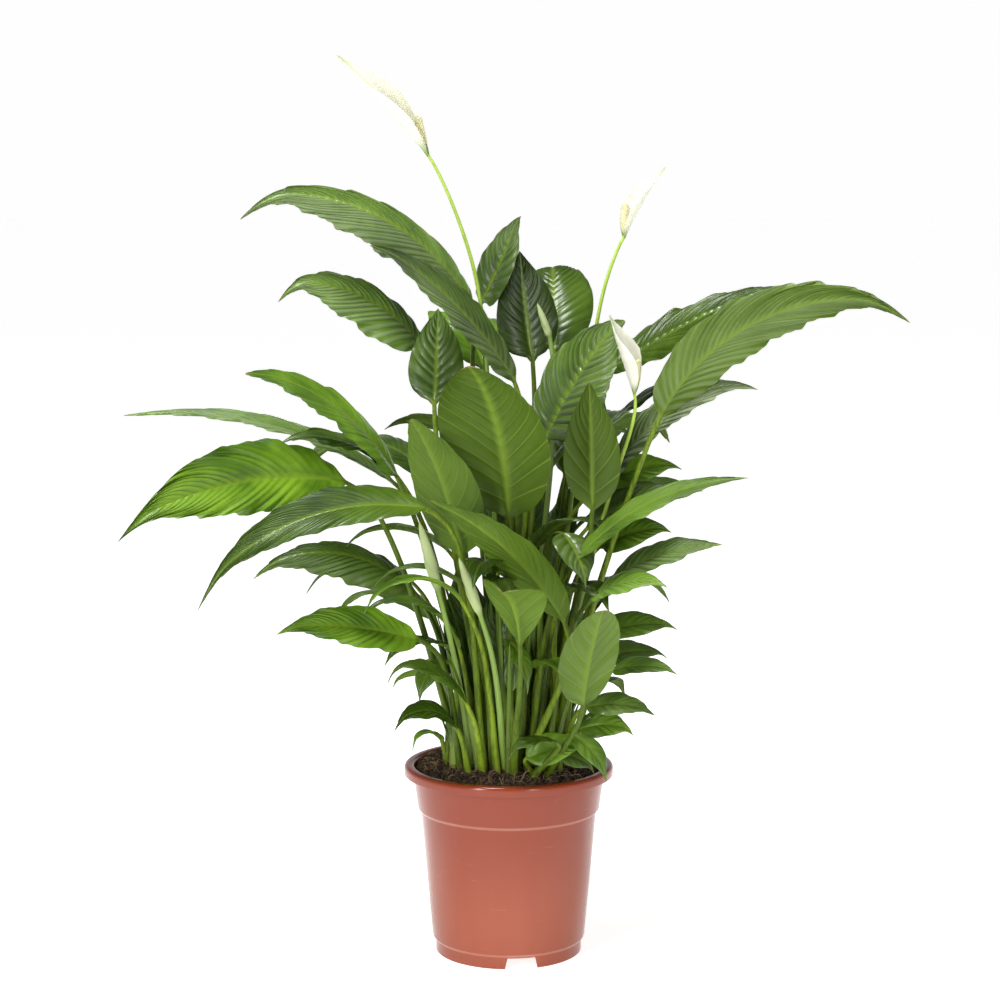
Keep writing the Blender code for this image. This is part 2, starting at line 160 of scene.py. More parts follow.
def bladeRatio(share):
    # Widest a third of the way along, drawn out to a thin tip; 1 at its widest.
    return (share / 0.35) ** 0.6 * (np.maximum(1 - share, 0) / 0.65) ** 1.1


def skeleton(nodeName, stemRings):
    # Centres from foot to tip, the side vector at the blade, its full width, and stem radii.
    # Sides start at the widest ring, and each next ring takes the pair that turns least.
    rings = loftRings(nodeName)
    centres = middlesOf(rings)
    apart = [ring[:, None] - ring[None] for ring in rings[stemRings:-1]]
    lengths = [np.linalg.norm(pairs, axis=2) for pairs in apart]
    widest = int(np.argmax([values.max() for values in lengths]))
    place = np.unravel_index(np.argmax(lengths[widest]), lengths[widest].shape)
    sides = [None] * len(apart)
    spans = [0.0] * len(apart)
    start = unit(apart[widest][place])
    for order in (range(widest, len(apart)), range(widest, -1, -1)):
        near = start
        for index in order:
            across = apart[index] @ near
            left, right = np.unravel_index(np.argmax(across), across.shape)
            near = unit(apart[index][left, right])
            sides[index] = near
            spans[index] = lengths[index][left, right]
            ring = rings[stemRings + index]
            fromMiddle = np.linalg.norm(ring - (ring[left] + ring[right]) / 2, axis=1)
            centres[stemRings + index] = ring[np.argsort(fromMiddle)[:2]].mean(axis=0)
    sides = np.array(sides)
    along = unit(centres[stemRings + 1:] - centres[stemRings - 1:-2])[:len(sides)]
    facing = np.cross(along, sides)[:, 2]
    sides = sides * np.sign(facing[np.argmax(np.abs(facing))])
    count = len(rings) - stemRings
    width = max(span / bladeRatio((index + 1) / count) for index, span in enumerate(spans))
    return centres, sides, width, radiiOf(rings[:stemRings])


# Meshes from grids

def gridFaces(rows, columns):
    # The points' numbers, those of their neighbours round the row, and the quads between rows.
    index = np.arange(rows * columns).reshape(rows, columns)
    after = np.roll(index, -1, axis=1)
    quads = np.stack([index[:-1], after[:-1], after[1:], index[1:]], axis=-1).reshape(-1, 4)
    return index, after, quads


def copied(faces, count, size):
    # The faces once for each copy of a piece that has this many points.
    shift = np.arange(count)[:, None, None] * size
    return (faces[None] + shift).reshape(-1, faces.shape[1])


def gridPiece(name, grid, material, facts=None, nodes=()):
    # A closed skin: rows of points round a path, joined row to row, with a fan at each end.
    rows, columns = grid.shape[:2]
    points = grid.reshape(-1, 3)
    index, after, quads = gridFaces(rows, columns)
    extra = np.stack([grid[0].mean(axis=0), grid[-1].mean(axis=0)])
    points = np.vstack([points, extra])
    first = rows * columns
    footFan = np.stack([after[0], index[0], np.full(columns, first)], axis=-1)
    endFan = np.stack([index[-1], after[-1], np.full(columns, first + 1)], axis=-1)
    triangles = np.vstack([footFan, endFan])
    solid = np.vstack([quads[:, :3], quads[:, [0, 2, 3]], triangles])
    corner = points[solid]
    volume = np.einsum("ij,ij->", corner[:, 0], np.cross(corner[:, 1], corner[:, 2]))
    if volume < 0:
        quads = quads[:, ::-1]
        triangles = triangles[:, ::-1]
    values = {}
    for key, value in (facts or {}).items():
        value = np.broadcast_to(value, (rows, columns))
        values[key] = np.concatenate([value.ravel(), [value[0].mean(), value[-1].mean()]])
    return meshPiece(name, points, [quads, triangles], material, values, nodes)


def placed(name, data):
    item = bpy.data.objects.new(name, data)
    bpy.context.scene.collection.objects.link(item)
    return item


def meshPiece(name, points, faceSets, material, values=None, nodes=()):
    loops = np.concatenate([faces.ravel() for faces in faceSets])
    sizes = np.concatenate([np.full(len(faces), faces.shape[1]) for faces in faceSets])
    starts = np.concatenate([[0], np.cumsum(sizes)[:-1]])
    mesh = bpy.data.meshes.new(name)
    mesh.vertices.add(len(points))
    mesh.vertices.foreach_set("co", points.astype(np.float32).ravel())
    mesh.loops.add(len(loops))
    mesh.loops.foreach_set("vertex_index", loops.astype(np.int32))
    mesh.polygons.add(len(sizes))
    mesh.polygons.foreach_set("loop_start", starts.astype(np.int32))
    mesh.update(calc_edges=True)
    for key, value in (values or {}).items():
        layer = mesh.attributes.new(key, "FLOAT", "POINT")
        layer.data.foreach_set("value", value.astype(np.float32))
    mesh.shade_smooth()
    mesh.materials.append(material)
    piece = placed(name, mesh)
    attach(piece, "root")
    if nodes:
        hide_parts(*nodes)
    return piece


# Materials

class Signal:
    # A socket in a sum: each operator adds its Math node.
    def __init__(self, bench, socket):
        self.bench = bench
        self.socket = socket

    def maths(self, operation, first, second):
        return self.bench.add("ShaderNodeMath", {"operation": operation}, {0: first, 1: second})

    def __add__(self, other):
        return self.maths("ADD", self, other)

    def __radd__(self, other):
        return self.maths("ADD", other, self)

    def __rsub__(self, other):
        return self.maths("SUBTRACT", other, self)

    def __mul__(self, other):
        return self.maths("MULTIPLY", self, other)


class Bench:
    # A node tree and the one way nodes are put in it.
    def __init__(self, owner):
        owner.use_nodes = True
        self.owner = owner
        self.tree = owner.node_tree
        self.tree.nodes.clear()

    def add(self, kind, settings=None, inputs=None, output=0):
        node = self.tree.nodes.new(kind)
        for key, value in (settings or {}).items():
            setattr(node, key, value)
        for key, value in (inputs or {}).items():
            if isinstance(value, Signal):
                self.tree.links.new(value.socket, node.inputs[key])
            else:
                node.inputs[key].default_value = value
        return Signal(self, node.outputs[output]) if node.outputs else None

    def fact(self, name):
        return self.add("ShaderNodeAttribute", {"attribute_name": name}, output="Fac")

    def place(self):
        return self.add("ShaderNodeTexCoord", output="Object")

    def axis(self, vector, number):
        return self.add("ShaderNodeSeparateXYZ", inputs={0: vector}, output=number)

    def sine(self, value):
        return self.add("ShaderNodeMath", {"operation": "SINE"}, {0: value})

    def stretched(self, scale):
        return self.add("ShaderNodeMapping", inputs={"Vector": self.place(), "Scale": scale})

    def noise(self, scale, detail=3.0, vector=None):
        return self.add("ShaderNodeTexNoise", inputs={"Vector": vector or self.place(),
                                                      "Scale": scale, "Detail": detail})

    def step(self, value, low, high):
        return self.add("ShaderNodeMapRange", {"interpolation_type": "SMOOTHSTEP"},
                        {"Value": value, "From Min": low, "From Max": high})

    def blend(self, share, first, second):
        inputs = {0: share}
        for key, colour in ((6, first), (7, second)):
            inputs[key] = colour if isinstance(colour, Signal) else (*colour, 1.0)
        return self.add("ShaderNodeMix", {"data_type": "RGBA"}, inputs, output=2)

    def bump(self, height, distance, strength=1.0):
        return self.add("ShaderNodeBump", inputs={"Height": height, "Distance": distance,
                                                  "Strength": strength})

    def shader(self, **inputs):
        named = {key.replace("_", " "): value for key, value in inputs.items()}
        return self.add("ShaderNodeBsdfPrincipled", inputs=named)

    def sheet(self, skin, share, colour):
        # A share of the light goes through the skin and takes this colour.
        through = self.add("ShaderNodeBsdfTranslucent", inputs={"Color": (*colour, 1.0)})
        return self.finish(self.add("ShaderNodeMixShader", inputs={0: share, 1: skin, 2: through}))

    def finish(self, surface):
        self.add("ShaderNodeOutputMaterial", inputs={"Surface": surface})
        return self.owner


def materialBench(name):
    return Bench(bpy.data.materials.new(name))


leafTones = {
    "leaf_deep": dict(top=(0.022, 0.052, 0.003), bright=(0.085, 0.155, 0.014)),
    "leaf_fresh": dict(top=(0.050, 0.118, 0.004), bright=(0.165, 0.310, 0.016)),
    "leaf_pale": dict(top=(0.050, 0.105, 0.004), bright=(0.120, 0.225, 0.018)),
}
leafFinish = dict(under=(0.110, 0.190, 0.016), underDark=(0.070, 0.130, 0.008),
                  rib=(0.230, 0.350, 0.035), stem=(0.052, 0.094, 0.004),
                  stemLight=(0.185, 0.270, 0.013), stemFoot=(0.235, 0.300, 0.050),
                  stemMark=(0.028, 0.055, 0.003), paintedSheenColour=(0.420, 0.500, 0.290),
                  tip=(0.230, 0.190, 0.040), glow=(0.260, 0.460, 0.015), glowShare=0.16,
                  coat=0.42, coatRoughness=0.24, patchScale=22.0, speckleScale=420.0,
                  grainScale=(420.0, 420.0, 14.0), flankBeat=6.28, fineBeat=37.7)


def leafMaterial(name, tone, shade, paintedSheen, stemTone):
    # Glossy above, matte and paler below, lighter along the ribs. Shade sets how light each leaf
    # is: partly its own tone, partly painted shade and light matched leaf by leaf. The whitish mix
    # is a painted sheen, a painted reflection that lies thickest on one flank of each side vein.
    bench = materialBench(name)
    along = bench.fact("along")
    upper = bench.fact("upper")
    rib = bench.fact("rib")
    vein = bench.fact("vein")
    blade = bench.fact("blade")
    phase = bench.fact("phase")
    finish = leafFinish
    patches = bench.noise(finish["patchScale"])
    speckle = bench.noise(finish["speckleScale"])
    grain = bench.noise(1.0, vector=bench.stretched(finish["grainScale"]))
    colours = (leafTones[tone]["top"], leafTones[tone]["bright"], finish["underDark"], finish["under"])
    # Each leaf's colours are scaled by shade: partly its own tone, partly painted shade and light.
    top, bright, underDark, under = (tuple(value * shade for value in each) for each in colours)
    # Swells between side veins are painted lighter and the grooves darker, above and below: painted
    # sheen and painted shade.
    topColour = bench.blend(bench.step(patches + vein * 0.12, 0.3, 0.75), top, bright)
    topColour = bench.blend(rib * 0.6, topColour, finish["rib"])
    underColour = bench.blend(bench.step(patches + vein * 0.15, 0.25, 0.7),
                              underDark, under)
    underColour = bench.blend(rib * 0.55, underColour, finish["rib"])
    bladeColour = bench.blend(upper, underColour, topColour)
    beat = bench.sine(phase * math.pi)
    line = bench.step(bench.add("ShaderNodeMath", {"operation": "ABSOLUTE"}, {0: beat}), 0.22, 0.02)
    bladeColour = bench.blend(line * (1 - rib) * (0.42 - upper * 0.22), bladeColour, finish["rib"])
    # Painted sheen: a whitish painted reflection, thickest on one flank of each side vein.
    if paintedSheen > 0:
        flank = bench.step(bench.sine(phase * finish["flankBeat"]), -0.4, 0.9)
        bladeColour = bench.blend((0.2 + flank * 1.2) * (0.5 + patches) * (1 - rib * 0.8) * paintedSheen,
                                  bladeColour, finish["paintedSheenColour"])
    bladeColour = bench.blend(bench.step(along, 0.965, 1.0) * 0.8, bladeColour, finish["tip"])
    stem = tuple(dark + (light - dark) * stemTone
                 for dark, light in zip(finish["stem"], finish["stemLight"]))
    stemColour = bench.blend(bench.step(along, -1.0, -0.72), finish["stemFoot"], stem)
    stemColour = bench.blend(bench.step(grain * 0.7 + speckle * 0.3, 0.42, 0.62) * 0.55,
                             stemColour, finish["stemMark"])
    colour = bench.blend(blade, stemColour, bladeColour)
    roughness = 0.44 - upper * blade * 0.21 + patches * 0.08
    height = bench.sine(phase * finish["fineBeat"]) * blade * (1 - rib) * 0.5 + speckle * 0.3
    skin = bench.shader(Base_Color=colour, Roughness=roughness, IOR=1.3,
                        Coat_Weight=upper * blade * finish["coat"],
                        Coat_Roughness=finish["coatRoughness"],
                        Normal=bench.bump(height, 0.12 * millimetre, 0.6))
    return bench.sheet(skin, blade * finish["glowShare"], finish["glow"])


# Leaves

leafForm = dict(
    stemRings=7,            # rings of the frame's loft below the blade
    around=48,              # points round the skin
    stations=500,           # points of the path it follows
    stemRows=30, tipRows=12,
    widen=1.0, turn=0.0,    # blade width against the frame's, and degrees it turns on its midrib
    fold=0.48, droop=0.42,  # how far each half rises beside the midrib and falls at its edge
    blunt=0.0, late=1.0,    # 0 is the pointed outline, 1 an oval, widest later where late is more
    drip=0.4,               # how much the last third is drawn in to a thin tip
    hook=5.0,               # millimetres from here on: how far the tip bends down
    skinThickness=0.55,
    ribRadius=1.2,
    puff=1.0,               # how far the skin swells between side veins
    veinSpacing=7.0,
    rowsPerVein=7,
    sweep=2.4,              # how far the side veins run forward, 1 is not at all
    margin=2.6,             # waves of the edge
    sheath=2.4,             # how much a stem widens at its foot
    shade=1.0, paintedSheen=0.0,    # finish: how light the blade is, partly painted shade, and its painted whitish sheen
)
matte = dict(margin=0.8, hook=0.0, veinSpacing=12.0, puff=0.8, sweep=2.8)
# Shade values below partly paint the light or shade that falls on each leaf; the whitish amounts are
# painted sheen.
leafShapes = {
    "leaf_high_left": dict(hook=17.0, fold=0.10, paintedSheen=0.28, shade=0.72, puff=2.2, margin=3.0),
    "leaf_upper_left": dict(hook=16.0, fold=0.05, paintedSheen=0.26, shade=0.9, puff=2.0, margin=3.0),
    "leaf_left_reaching": dict(paintedSheen=0.14, shade=0.8, puff=1.5),
    "leaf_left_upright": dict(paintedSheen=0.08, puff=1.3),
    "leaf_left_bright": dict(fold=0.35, hook=3.0, shade=1.15, paintedSheen=0.04, blunt=0.3, puff=0.8),
    "leaf_left_broad": dict(hook=9.0, margin=4.0, fold=0.55, turn=-14.0, drip=0.55, shade=1.1,
                            puff=0.8, veinSpacing=9.0),
    "leaf_left_arching": dict(hook=11.0, fold=0.6, drip=0.5, turn=-8.0, shade=1.05, widen=0.9,
                              margin=3.4),
    "leaf_left_drooping": dict(fold=0.0, drip=0.5, paintedSheen=0.06, margin=3.4),
    "leaf_left_far": dict(hook=0.0, fold=0.6, paintedSheen=0.36),
    "leaf_front_big": dict(matte, blunt=0.8, fold=0.16, puff=1.0, shade=0.7),
    "leaf_front_left": dict(matte, blunt=0.55, shade=0.86),
    "leaf_front_crossing": dict(matte, blunt=0.25, margin=1.4, veinSpacing=9.0),
    "leaf_front_round": dict(matte, blunt=0.9, paintedSheen=0.06, widen=1.06),
    "leaf_front_funnel": dict(matte, blunt=0.95, late=1.9, fold=0.85),
    "leaf_back_round": dict(blunt=0.9, margin=1.0, shade=0.95, fold=0.3),
    "leaf_glossy_centre": dict(blunt=0.2, fold=0.4, margin=1.6, shade=0.6, paintedSheen=0.17, puff=1.5,
                               widen=1.08),
    "leaf_top_upright": dict(fold=0.55, margin=1.2, shade=0.42, paintedSheen=0.10, puff=1.6),
    "leaf_top_dark": dict(fold=0.5, margin=1.2, shade=0.38),
    "leaf_right_big": dict(hook=12.0, margin=3.4, paintedSheen=0.18),
    "leaf_right_bright": dict(shade=0.4, margin=3.0, puff=0.8),
    "leaf_right_olive": dict(matte, blunt=0.25, fold=0.5, shade=0.7),
    "leaf_right_olive_back": dict(shade=0.42),
    "leaf_right_striped": dict(hook=6.0, fold=0.5, paintedSheen=0.40, shade=0.75, puff=1.8),
    "leaf_right_long": dict(hook=0.0, drip=0.3, shade=0.75, paintedSheen=0.05, widen=0.9),
    "leaf_right_low": dict(hook=0.0, drip=0.3, paintedSheen=0.20, widen=0.9, shade=1.2),
    "leaf_right_low_pale": dict(hook=2.0, paintedSheen=0.14),
    "leaf_right_thin": dict(hook=2.0, paintedSheen=0.08, shade=0.9),
    "leaf_right_under": dict(hook=1.0, shade=1.3, paintedSheen=0.08),
}


def unevenWave(random, where):
    # Three sines of different lengths added up, about one unit high.
    total = np.zeros_like(where)
    for length, weight in ((1.0, 0.55), (0.57, 0.35), (0.31, 0.25)):
        length = length * random.uniform(0.85, 1.15)
        total = total + weight * np.sin(2 * math.pi * where / length + random.uniform(0, 6))
    return total


def alongPath(where, stations, values):
    # Values given at stations of the path, read at any array of places on it.
    return np.stack([np.interp(where, stations, values[:, axis]) for axis in range(3)], axis=-1)


def leafGrid(centres, sides, width, radii, random, form):
    # Stations run from foot to tip. Round each, the skin is a circle on the stem that turns into
    # a thin folded lens on the blade: v = cos(angle) goes across it, the upper half is above.
    # On the blade a row follows a side vein: it leaves the midrib at its own share of the length
    # and meets the edge where what is left of that is raised to the sweep, further forward.
    # The skin swells between veins as the root of a sine.
    # Each vein swells by its own amount, and the blade turns on its midrib as it leaves the stem.
    joint = form["stemRings"] - 1
    last = len(centres) - 1
    width = width * form["widen"]
    stations = np.linspace(0, last, form["stations"])
    middle = curveThrough(centres, stations)
    atBlade = np.clip((stations - joint) / (last - joint), 0, 1)
    middle[:, 2] -= form["hook"] * millimetre * np.clip((atBlade - 0.8) / 0.2, 0, 1) ** 2
    side = curveThrough(sides, np.clip(stations - form["stemRings"], 0, len(sides) - 1))
    side, normal = squared(middle, side)
    twist = random.uniform(-0.22, 0.22) * atBlade ** 2
    twist = (twist + math.radians(form["turn"]) * smoothStep(0, 0.3, atBlade))[:, None]
    side, normal = (side * np.cos(twist) + normal * np.sin(twist),
                    normal * np.cos(twist) - side * np.sin(twist))
    length = np.linalg.norm(np.diff(middle[atBlade > 0], axis=0), axis=1).sum()

    angle = circle(form["around"])
    v = np.cos(angle)
    edge = np.abs(v)
    over = np.sin(angle) >= -1e-9
    veins = length / (form["veinSpacing"] * millimetre)
    bladeRows = int(veins * form["rowsPerVein"]) + form["tipRows"]
    row = np.concatenate([np.linspace(-1, 0, form["stemRows"])[:-1],
                          np.linspace(0, 1, bladeRows)])[:, None]
    u = np.clip(row, 0, 1)
    u = u + (1 - (1 - u) ** form["sweep"] - u) * (0.65 * edge + 0.35 * v * v)
    where = np.where(row < 0, (row + 1) * joint, joint + u * (last - joint))
    oval = np.sqrt(np.maximum(1 - (2 * u ** form["late"] - 1) ** 2, 0)) * 0.97
    outline = (1 - form["blunt"]) * bladeRatio(u) + form["blunt"] * oval
    half = width / 2 * outline * (1 - form["drip"] * smoothStep(0.66, 1.0, u) * (1 - form["blunt"]))
    blade = smoothStep(0.0, 0.05, u)
    fromFoot = np.clip(where / joint, 0, 1)
    radius = radii[0] + (radii[-1] - radii[0]) * fromFoot
    clasp = form["sheath"] * millimetre * np.exp(-fromFoot * 3.6)

    across = v * half
    ribRadius = (form["ribRadius"] * (1 - u) ** 0.8 + 0.2) * millimetre
    rib = np.exp(-(across / ribRadius) ** 2)
    size = np.clip(width / (50 * millimetre), 0.3, 1.3)
    left = unevenWave(random, row * veins / 5.3)
    right = unevenWave(random, row * veins / 4.7)
    phase = row * veins + np.where(v > 0, left, right) * 0.15
    amount = random.uniform(0.35, 1.3, (2, int(veins) + 4))
    place = np.arange(int(veins) + 4)
    amount = np.where(v > 0, np.interp(phase, place, amount[0]), np.interp(phase, place, amount[1]))
    swell = (2 * np.abs(np.sin(math.pi * phase)) ** 0.6 - 1) * amount
    calm = np.sin(math.pi * np.clip(u, 0, 1)) ** 0.4 * (1 - edge ** 8)
    calm = calm * (1 - np.exp(-(across / (2.5 * ribRadius)) ** 2))
    waves = row * length / (25 * millimetre)
    ripple = np.where(v > 0, unevenWave(random, waves), unevenWave(random, waves))
    ripple = ripple * edge ** 3 * form["margin"] * size * np.sin(math.pi * u) ** 0.5
    bend = half * (form["fold"] * edge - form["droop"] * v * v)
    puff = form["puff"] * random.uniform(0.6, 1.0) * size * swell * calm
    skin = form["skinThickness"] / 2 * np.sqrt(np.maximum(1 - edge ** 8, 0))
    lift = bend + (ripple + puff) * millimetre
    lift = lift + np.where(over, skin * millimetre - 0.45 * ribRadius * rib,
                           -skin * millimetre - 0.9 * ribRadius * rib)
    sideways = (1 - blade) * (radius + clasp) * v + blade * across
    upward = (1 - blade) * (radius + clasp * 0.25) * np.sin(angle) + blade * lift
    path = [alongPath(where, stations, values) for values in (middle, side, normal)]
    grid = besidePath(*path, sideways, upward)
    facts = dict(along=np.where(row < 0, row + 0 * u, u), blade=blade, upper=over.astype(float),
                 rib=rib * blade, vein=swell * calm * blade, phase=phase)
    return grid, facts


def seedOf(name):
    # Each letter's code counts as many times as its place in the name.
    codes = [ord(letter) * (place + 1) for place, letter in enumerate(name)]
    return np.random.default_rng(sum(codes))


leafNames = [name for name in frame["nodes"] if name.startswith("leaf_")]
for name in leafNames:
    random = seedOf(name)
    centres, sides, width, radii = skeleton(name, leafForm["stemRings"])
    form = {**leafForm, **leafShapes.get(name, {})}
    grid, facts = leafGrid(centres, sides, width, radii, random, form)
    material = leafMaterial(name + "_skin", slotOf[name], form["shade"] * random.uniform(0.9, 1.12),
                            form["paintedSheen"], random.uniform(0.1, 1.0))
    gridPiece(name + "_grown", grid, material, facts, (name,))
print("leaves", len(leafNames))


# Young and hidden leaves that the frame leaves out. Each value is a foot as (x, y), the joint of
# stem and blade as (x, y, z), the heading seen from above in degrees, the blade's length and
# width, its slope at the joint and how far it has turned down at the tip, its roll, and its tone.

youngLeaves = {
    "young_front_low": ((22, -42), (14, -57, 172), 0, 50, 28, 32, 40, 55, "fresh"),
    "young_front_rim": ((40, -40), (50, -54, 190), -30, 46, 24, -20, 50, 15, "fresh"),
    "young_rim_right": ((50, -22), (56, -24, 188), -8, 46, 28, 25, 50, 40, "fresh"),
    "young_front_dark": ((30, -46), (38, -56, 176), 10, 34, 20, -5, 40, 50, "deep"),
    "young_centre": ((2, -48), (0, -55, 265), -60, 48, 18, -10, 75, 0, "fresh"),
    "young_sprout": ((4, -50), (2, -54, 225), 90, 34, 12, 80, 10, 0, "pale"),
    "young_left_low": ((-46, -18), (-58, -25, 232), 175, 38, 22, 20, 60, 20, "fresh"),
    "young_left_pale": ((-44, -30), (-52, -35, 246), -130, 42, 24, -5, 70, 0, "pale"),
    "young_left_thin": ((-50, -8), (-66, -10, 240), 190, 36, 16, 10, 60, 10, "deep"),
    "young_right_upper": ((36, -10), (72, -15, 385), 10, 70, 34, 30, 35, 35, "fresh"),
    "young_right_fold": ((40, -18), (62, -30, 352), -10, 85, 42, 40, 30, 40, "deep"),
    "young_right_tip": ((30, 12), (70, 10, 360), 5, 90, 38, 25, 25, 40, "deep"),
    "young_right_mid": ((44, -4), (72, -20, 335), -15, 62, 34, 35, 35, 40, "fresh"),
    "young_inner_right": ((26, -36), (42, -45, 350), -60, 52, 34, -20, 50, 0, "deep"),
    "young_low_right": ((52, 2), (72, 0, 262), 5, 66, 30, 20, 30, 35, "fresh"),
    "young_low_right_back": ((48, 18), (72, 25, 235), 15, 62, 30, 20, 35, 30, "deep"),
    "hidden_back_low_right": ((34, 33), (60, 62, 270), 35, 105, 42, 45, 85, 0, "deep"),
    "hidden_back_low_left": ((-37, 25), (-62, 55, 262), 150, 110, 42, 45, 90, 0, "fresh"),
    "hidden_back_centre": ((11, 40), (15, 70, 300), 75, 95, 40, 60, 90, 10, "deep"),
    "hidden_back_rising": ((-12, 36), (-25, 75, 345), 105, 120, 46, 65, 75, 0, "fresh"),
    "hidden_back_far": ((22, 44), (38, 88, 240), 62, 110, 44, 35, 80, 0, "fresh"),
    "hidden_back_rim": ((-24, 42), (-38, 72, 215), 120, 80, 36, 30, 90, 0, "deep"),
    "hidden_back_rim_right": ((44, 30), (62, 50, 205), 48, 62, 28, 30, 80, 0, "fresh"),
    "hidden_back_side": ((-48, 10), (-80, 28, 300), 165, 100, 36, 35, 80, 0, "deep"),
    "hidden_centre_dark": ((-8, 5), (-18, 15, 400), 170, 95, 44, 55, 70, 25, "deep"),
    "hidden_centre_right": ((14, 8), (28, 22, 385), 20, 95, 44, 60, 70, -25, "deep"),
    "hidden_centre_upper": ((2, 2), (-6, -6, 425), 235, 90, 40, 65, 80, 0, "deep"),
    "hidden_centre_mid": ((8, -4), (20, -6, 330), 320, 85, 38, 60, 80, 0, "deep"),
    "hidden_centre_front": ((5, -20), (6, -30, 290), 250, 78, 34, 60, 75, 0, "deep"),
    "hidden_centre_left": ((-20, -12), (-32, -20, 300), 195, 85, 36, 50, 80, 0, "deep"),
    "hidden_left_mid": ((-28, -4), (-48, -8, 330), 185, 90, 40, 45, 75, 10, "deep"),
    "hidden_left_low": ((-30, -18), (-48, -26, 255), 215, 66, 30, 35, 75, 0, "deep"),
    "hidden_right_low": ((30, -12), (44, -20, 295), 300, 75, 34, 45, 85, 0, "deep"),
    "hidden_front_mid": ((-5, -35), (-12, -46, 318), 255, 70, 32, 50, 95, 0, "deep"),
    "hidden_front_low": ((20, -30), (24, -40, 240), 290, 60, 26, 45, 80, 0, "fresh"),
    "core_left": ((-22, 4), (-26, 6, 205), 120, 120, 52, 84, 20, 0, "deep"),
    "core_middle": ((-4, -4), (-6, -8, 195), 95, 115, 54, 86, 15, 0, "deep"),
    "core_right": ((16, 0), (20, 0, 205), 60, 120, 52, 84, 20, 0, "deep"),
    "core_right_low": ((34, 6), (40, 6, 190), 50, 90, 40, 78, 25, 0, "deep"),
    "core_high": ((4, 12), (6, 14, 300), 90, 120, 50, 84, 20, 0, "deep"),
    "core_high_right": ((24, 10), (30, 12, 300), 40, 100, 44, 78, 25, 0, "deep"),
}


youngForm = {**leafForm, "around": 40, "hook": 3.0, "margin": 1.2, "bladeRings": 7, "rootDepth": 8}


def youngSkeleton(foot, joint, heading, length, rise, fall, roll, form):
    # The stem is a curve that starts upright; the blade is an arc that turns down from its rise.
    joint = np.array(joint, float)
    start = np.array([*foot, soilForm["shoulder"] - form["rootDepth"]])
    heading, rise, fall, roll = np.radians([heading, rise, fall, roll])
    flat, level = levelVectors(heading)
    leaving = flat * math.cos(rise) + upright * math.sin(rise)
    gap = np.linalg.norm(joint - start)
    first = start + upright * 0.35 * gap
    second = joint - leaving * gap * 0.25
    share = np.linspace(0, 1, form["stemRings"])[:, None]
    stem = ((1 - share) ** 3 * start + 3 * (1 - share) ** 2 * share * first
            + 3 * (1 - share) * share ** 2 * second + share ** 3 * joint)
    count = form["bladeRings"]
    turn = rise - fall * (np.arange(1, count + 1) / count) ** 1.2
    steps = flat * np.cos(turn)[:, None] + upright * np.sin(turn)[:, None]
    blade = joint + np.cumsum(steps, axis=0) * length / count
    upward = np.cross(steps[:-1], level)
    sides = level * math.cos(roll) + upward * math.sin(roll)
    facing = np.cross(steps[:-1], sides)[:, 2].mean()
    return np.vstack([stem, blade]) * millimetre, sides * np.sign(facing)


# Flowers and buds

spatheForm = dict(stemRings=1, rows=120, around=56, skinThickness=0.5, ribRadius=1.0, margin=0.8,
                  footHalf=1.6, leastHalf=0.35, veins=7)
stalkForm = dict(rows=120, around=20, foot=2.0, top=1.1, smoothings=3)
spadixForm = dict(rows=150, around=72, radius=2.9, least=0.15, florets=15, floretTurns=9,
                  floretDepth=0.45)
budForm = dict(rows=160, around=36, stemRings=6, seamTurn=0.9, seamWidth=0.35, seamDepth=0.22,
               least=0.05)
spatheShapes = {  # wrap is the angle of the furled edge in radians, fullness the sheet's breadth
    "flower_high": dict(wrap=2.6, fullness=1.12),
    "flower_right": dict(wrap=1.8, fullness=0.9),
    "flower_inner": dict(wrap=2.6, fullness=1.08),
}


def paleMaterial(name, green, first=(0.90, 0.89, 0.82), second=(0.87, 0.87, 0.75)):
    # Creamy hood with faint green veins, greener at its back rib, its tip and its stem.
    bench = materialBench(name)
    along = bench.fact("along")
    rib = bench.fact("rib")
    streaks = bench.fact("vein")
    soft = bench.noise(60.0)
    colour = bench.blend(soft * 0.5, first, second)
    colour = bench.blend(streaks * 0.12, colour, (0.55, 0.65, 0.30))
    colour = bench.blend(rib * 0.55, colour, (0.38, 0.55, 0.14))
    colour = bench.blend(bench.step(along, 0.8, 1.0) * green, colour, (0.35, 0.50, 0.10))
    colour = bench.blend(bench.step(along, 0.18, 0.0), colour, (0.22, 0.36, 0.05))
    skin = bench.shader(Base_Color=colour, Roughness=0.42 + soft * 0.15,
                        Normal=bench.bump(streaks + soft, 0.1 * millimetre, 0.5))
    return bench.sheet(skin, 0.3, (0.90, 0.89, 0.74))


budColours = dict(first=(0.40, 0.50, 0.20), second=(0.58, 0.64, 0.36))
budSlimness = {"bud_left": 0.85, "bud_middle": 0.85, "bud_high": 0.55}


def stalkMaterial(name, foot=(0.14, 0.24, 0.02), top=(0.40, 0.56, 0.07)):
    # Lengthwise grain on a colour that runs from the foot's to the top's.
    bench = materialBench(name)
    grain = bench.noise(1.0, vector=bench.stretched((300.0, 300.0, 10.0)))
    colour = bench.blend(bench.step(bench.fact("along"), 0.0, 0.9), foot, top)
    mark = tuple(value * 0.5 for value in foot)
    colour = bench.blend(bench.step(grain, 0.4, 0.65) * 0.22, colour, mark)
    return bench.finish(bench.shader(Base_Color=colour, Roughness=0.36 + grain * 0.1, IOR=1.35,
                                     Normal=bench.bump(grain, 0.08 * millimetre, 0.5)))


def spadixMaterial(name):
    bench = materialBench(name)
    bead = bench.fact("bead")
    # The grooves between florets are painted darker than their tops: painted shade.
    colour = bench.blend(bead, (0.55, 0.52, 0.22), (0.88, 0.84, 0.60))
    return bench.finish(bench.shader(Base_Color=colour, Roughness=0.65 - bead * 0.1))


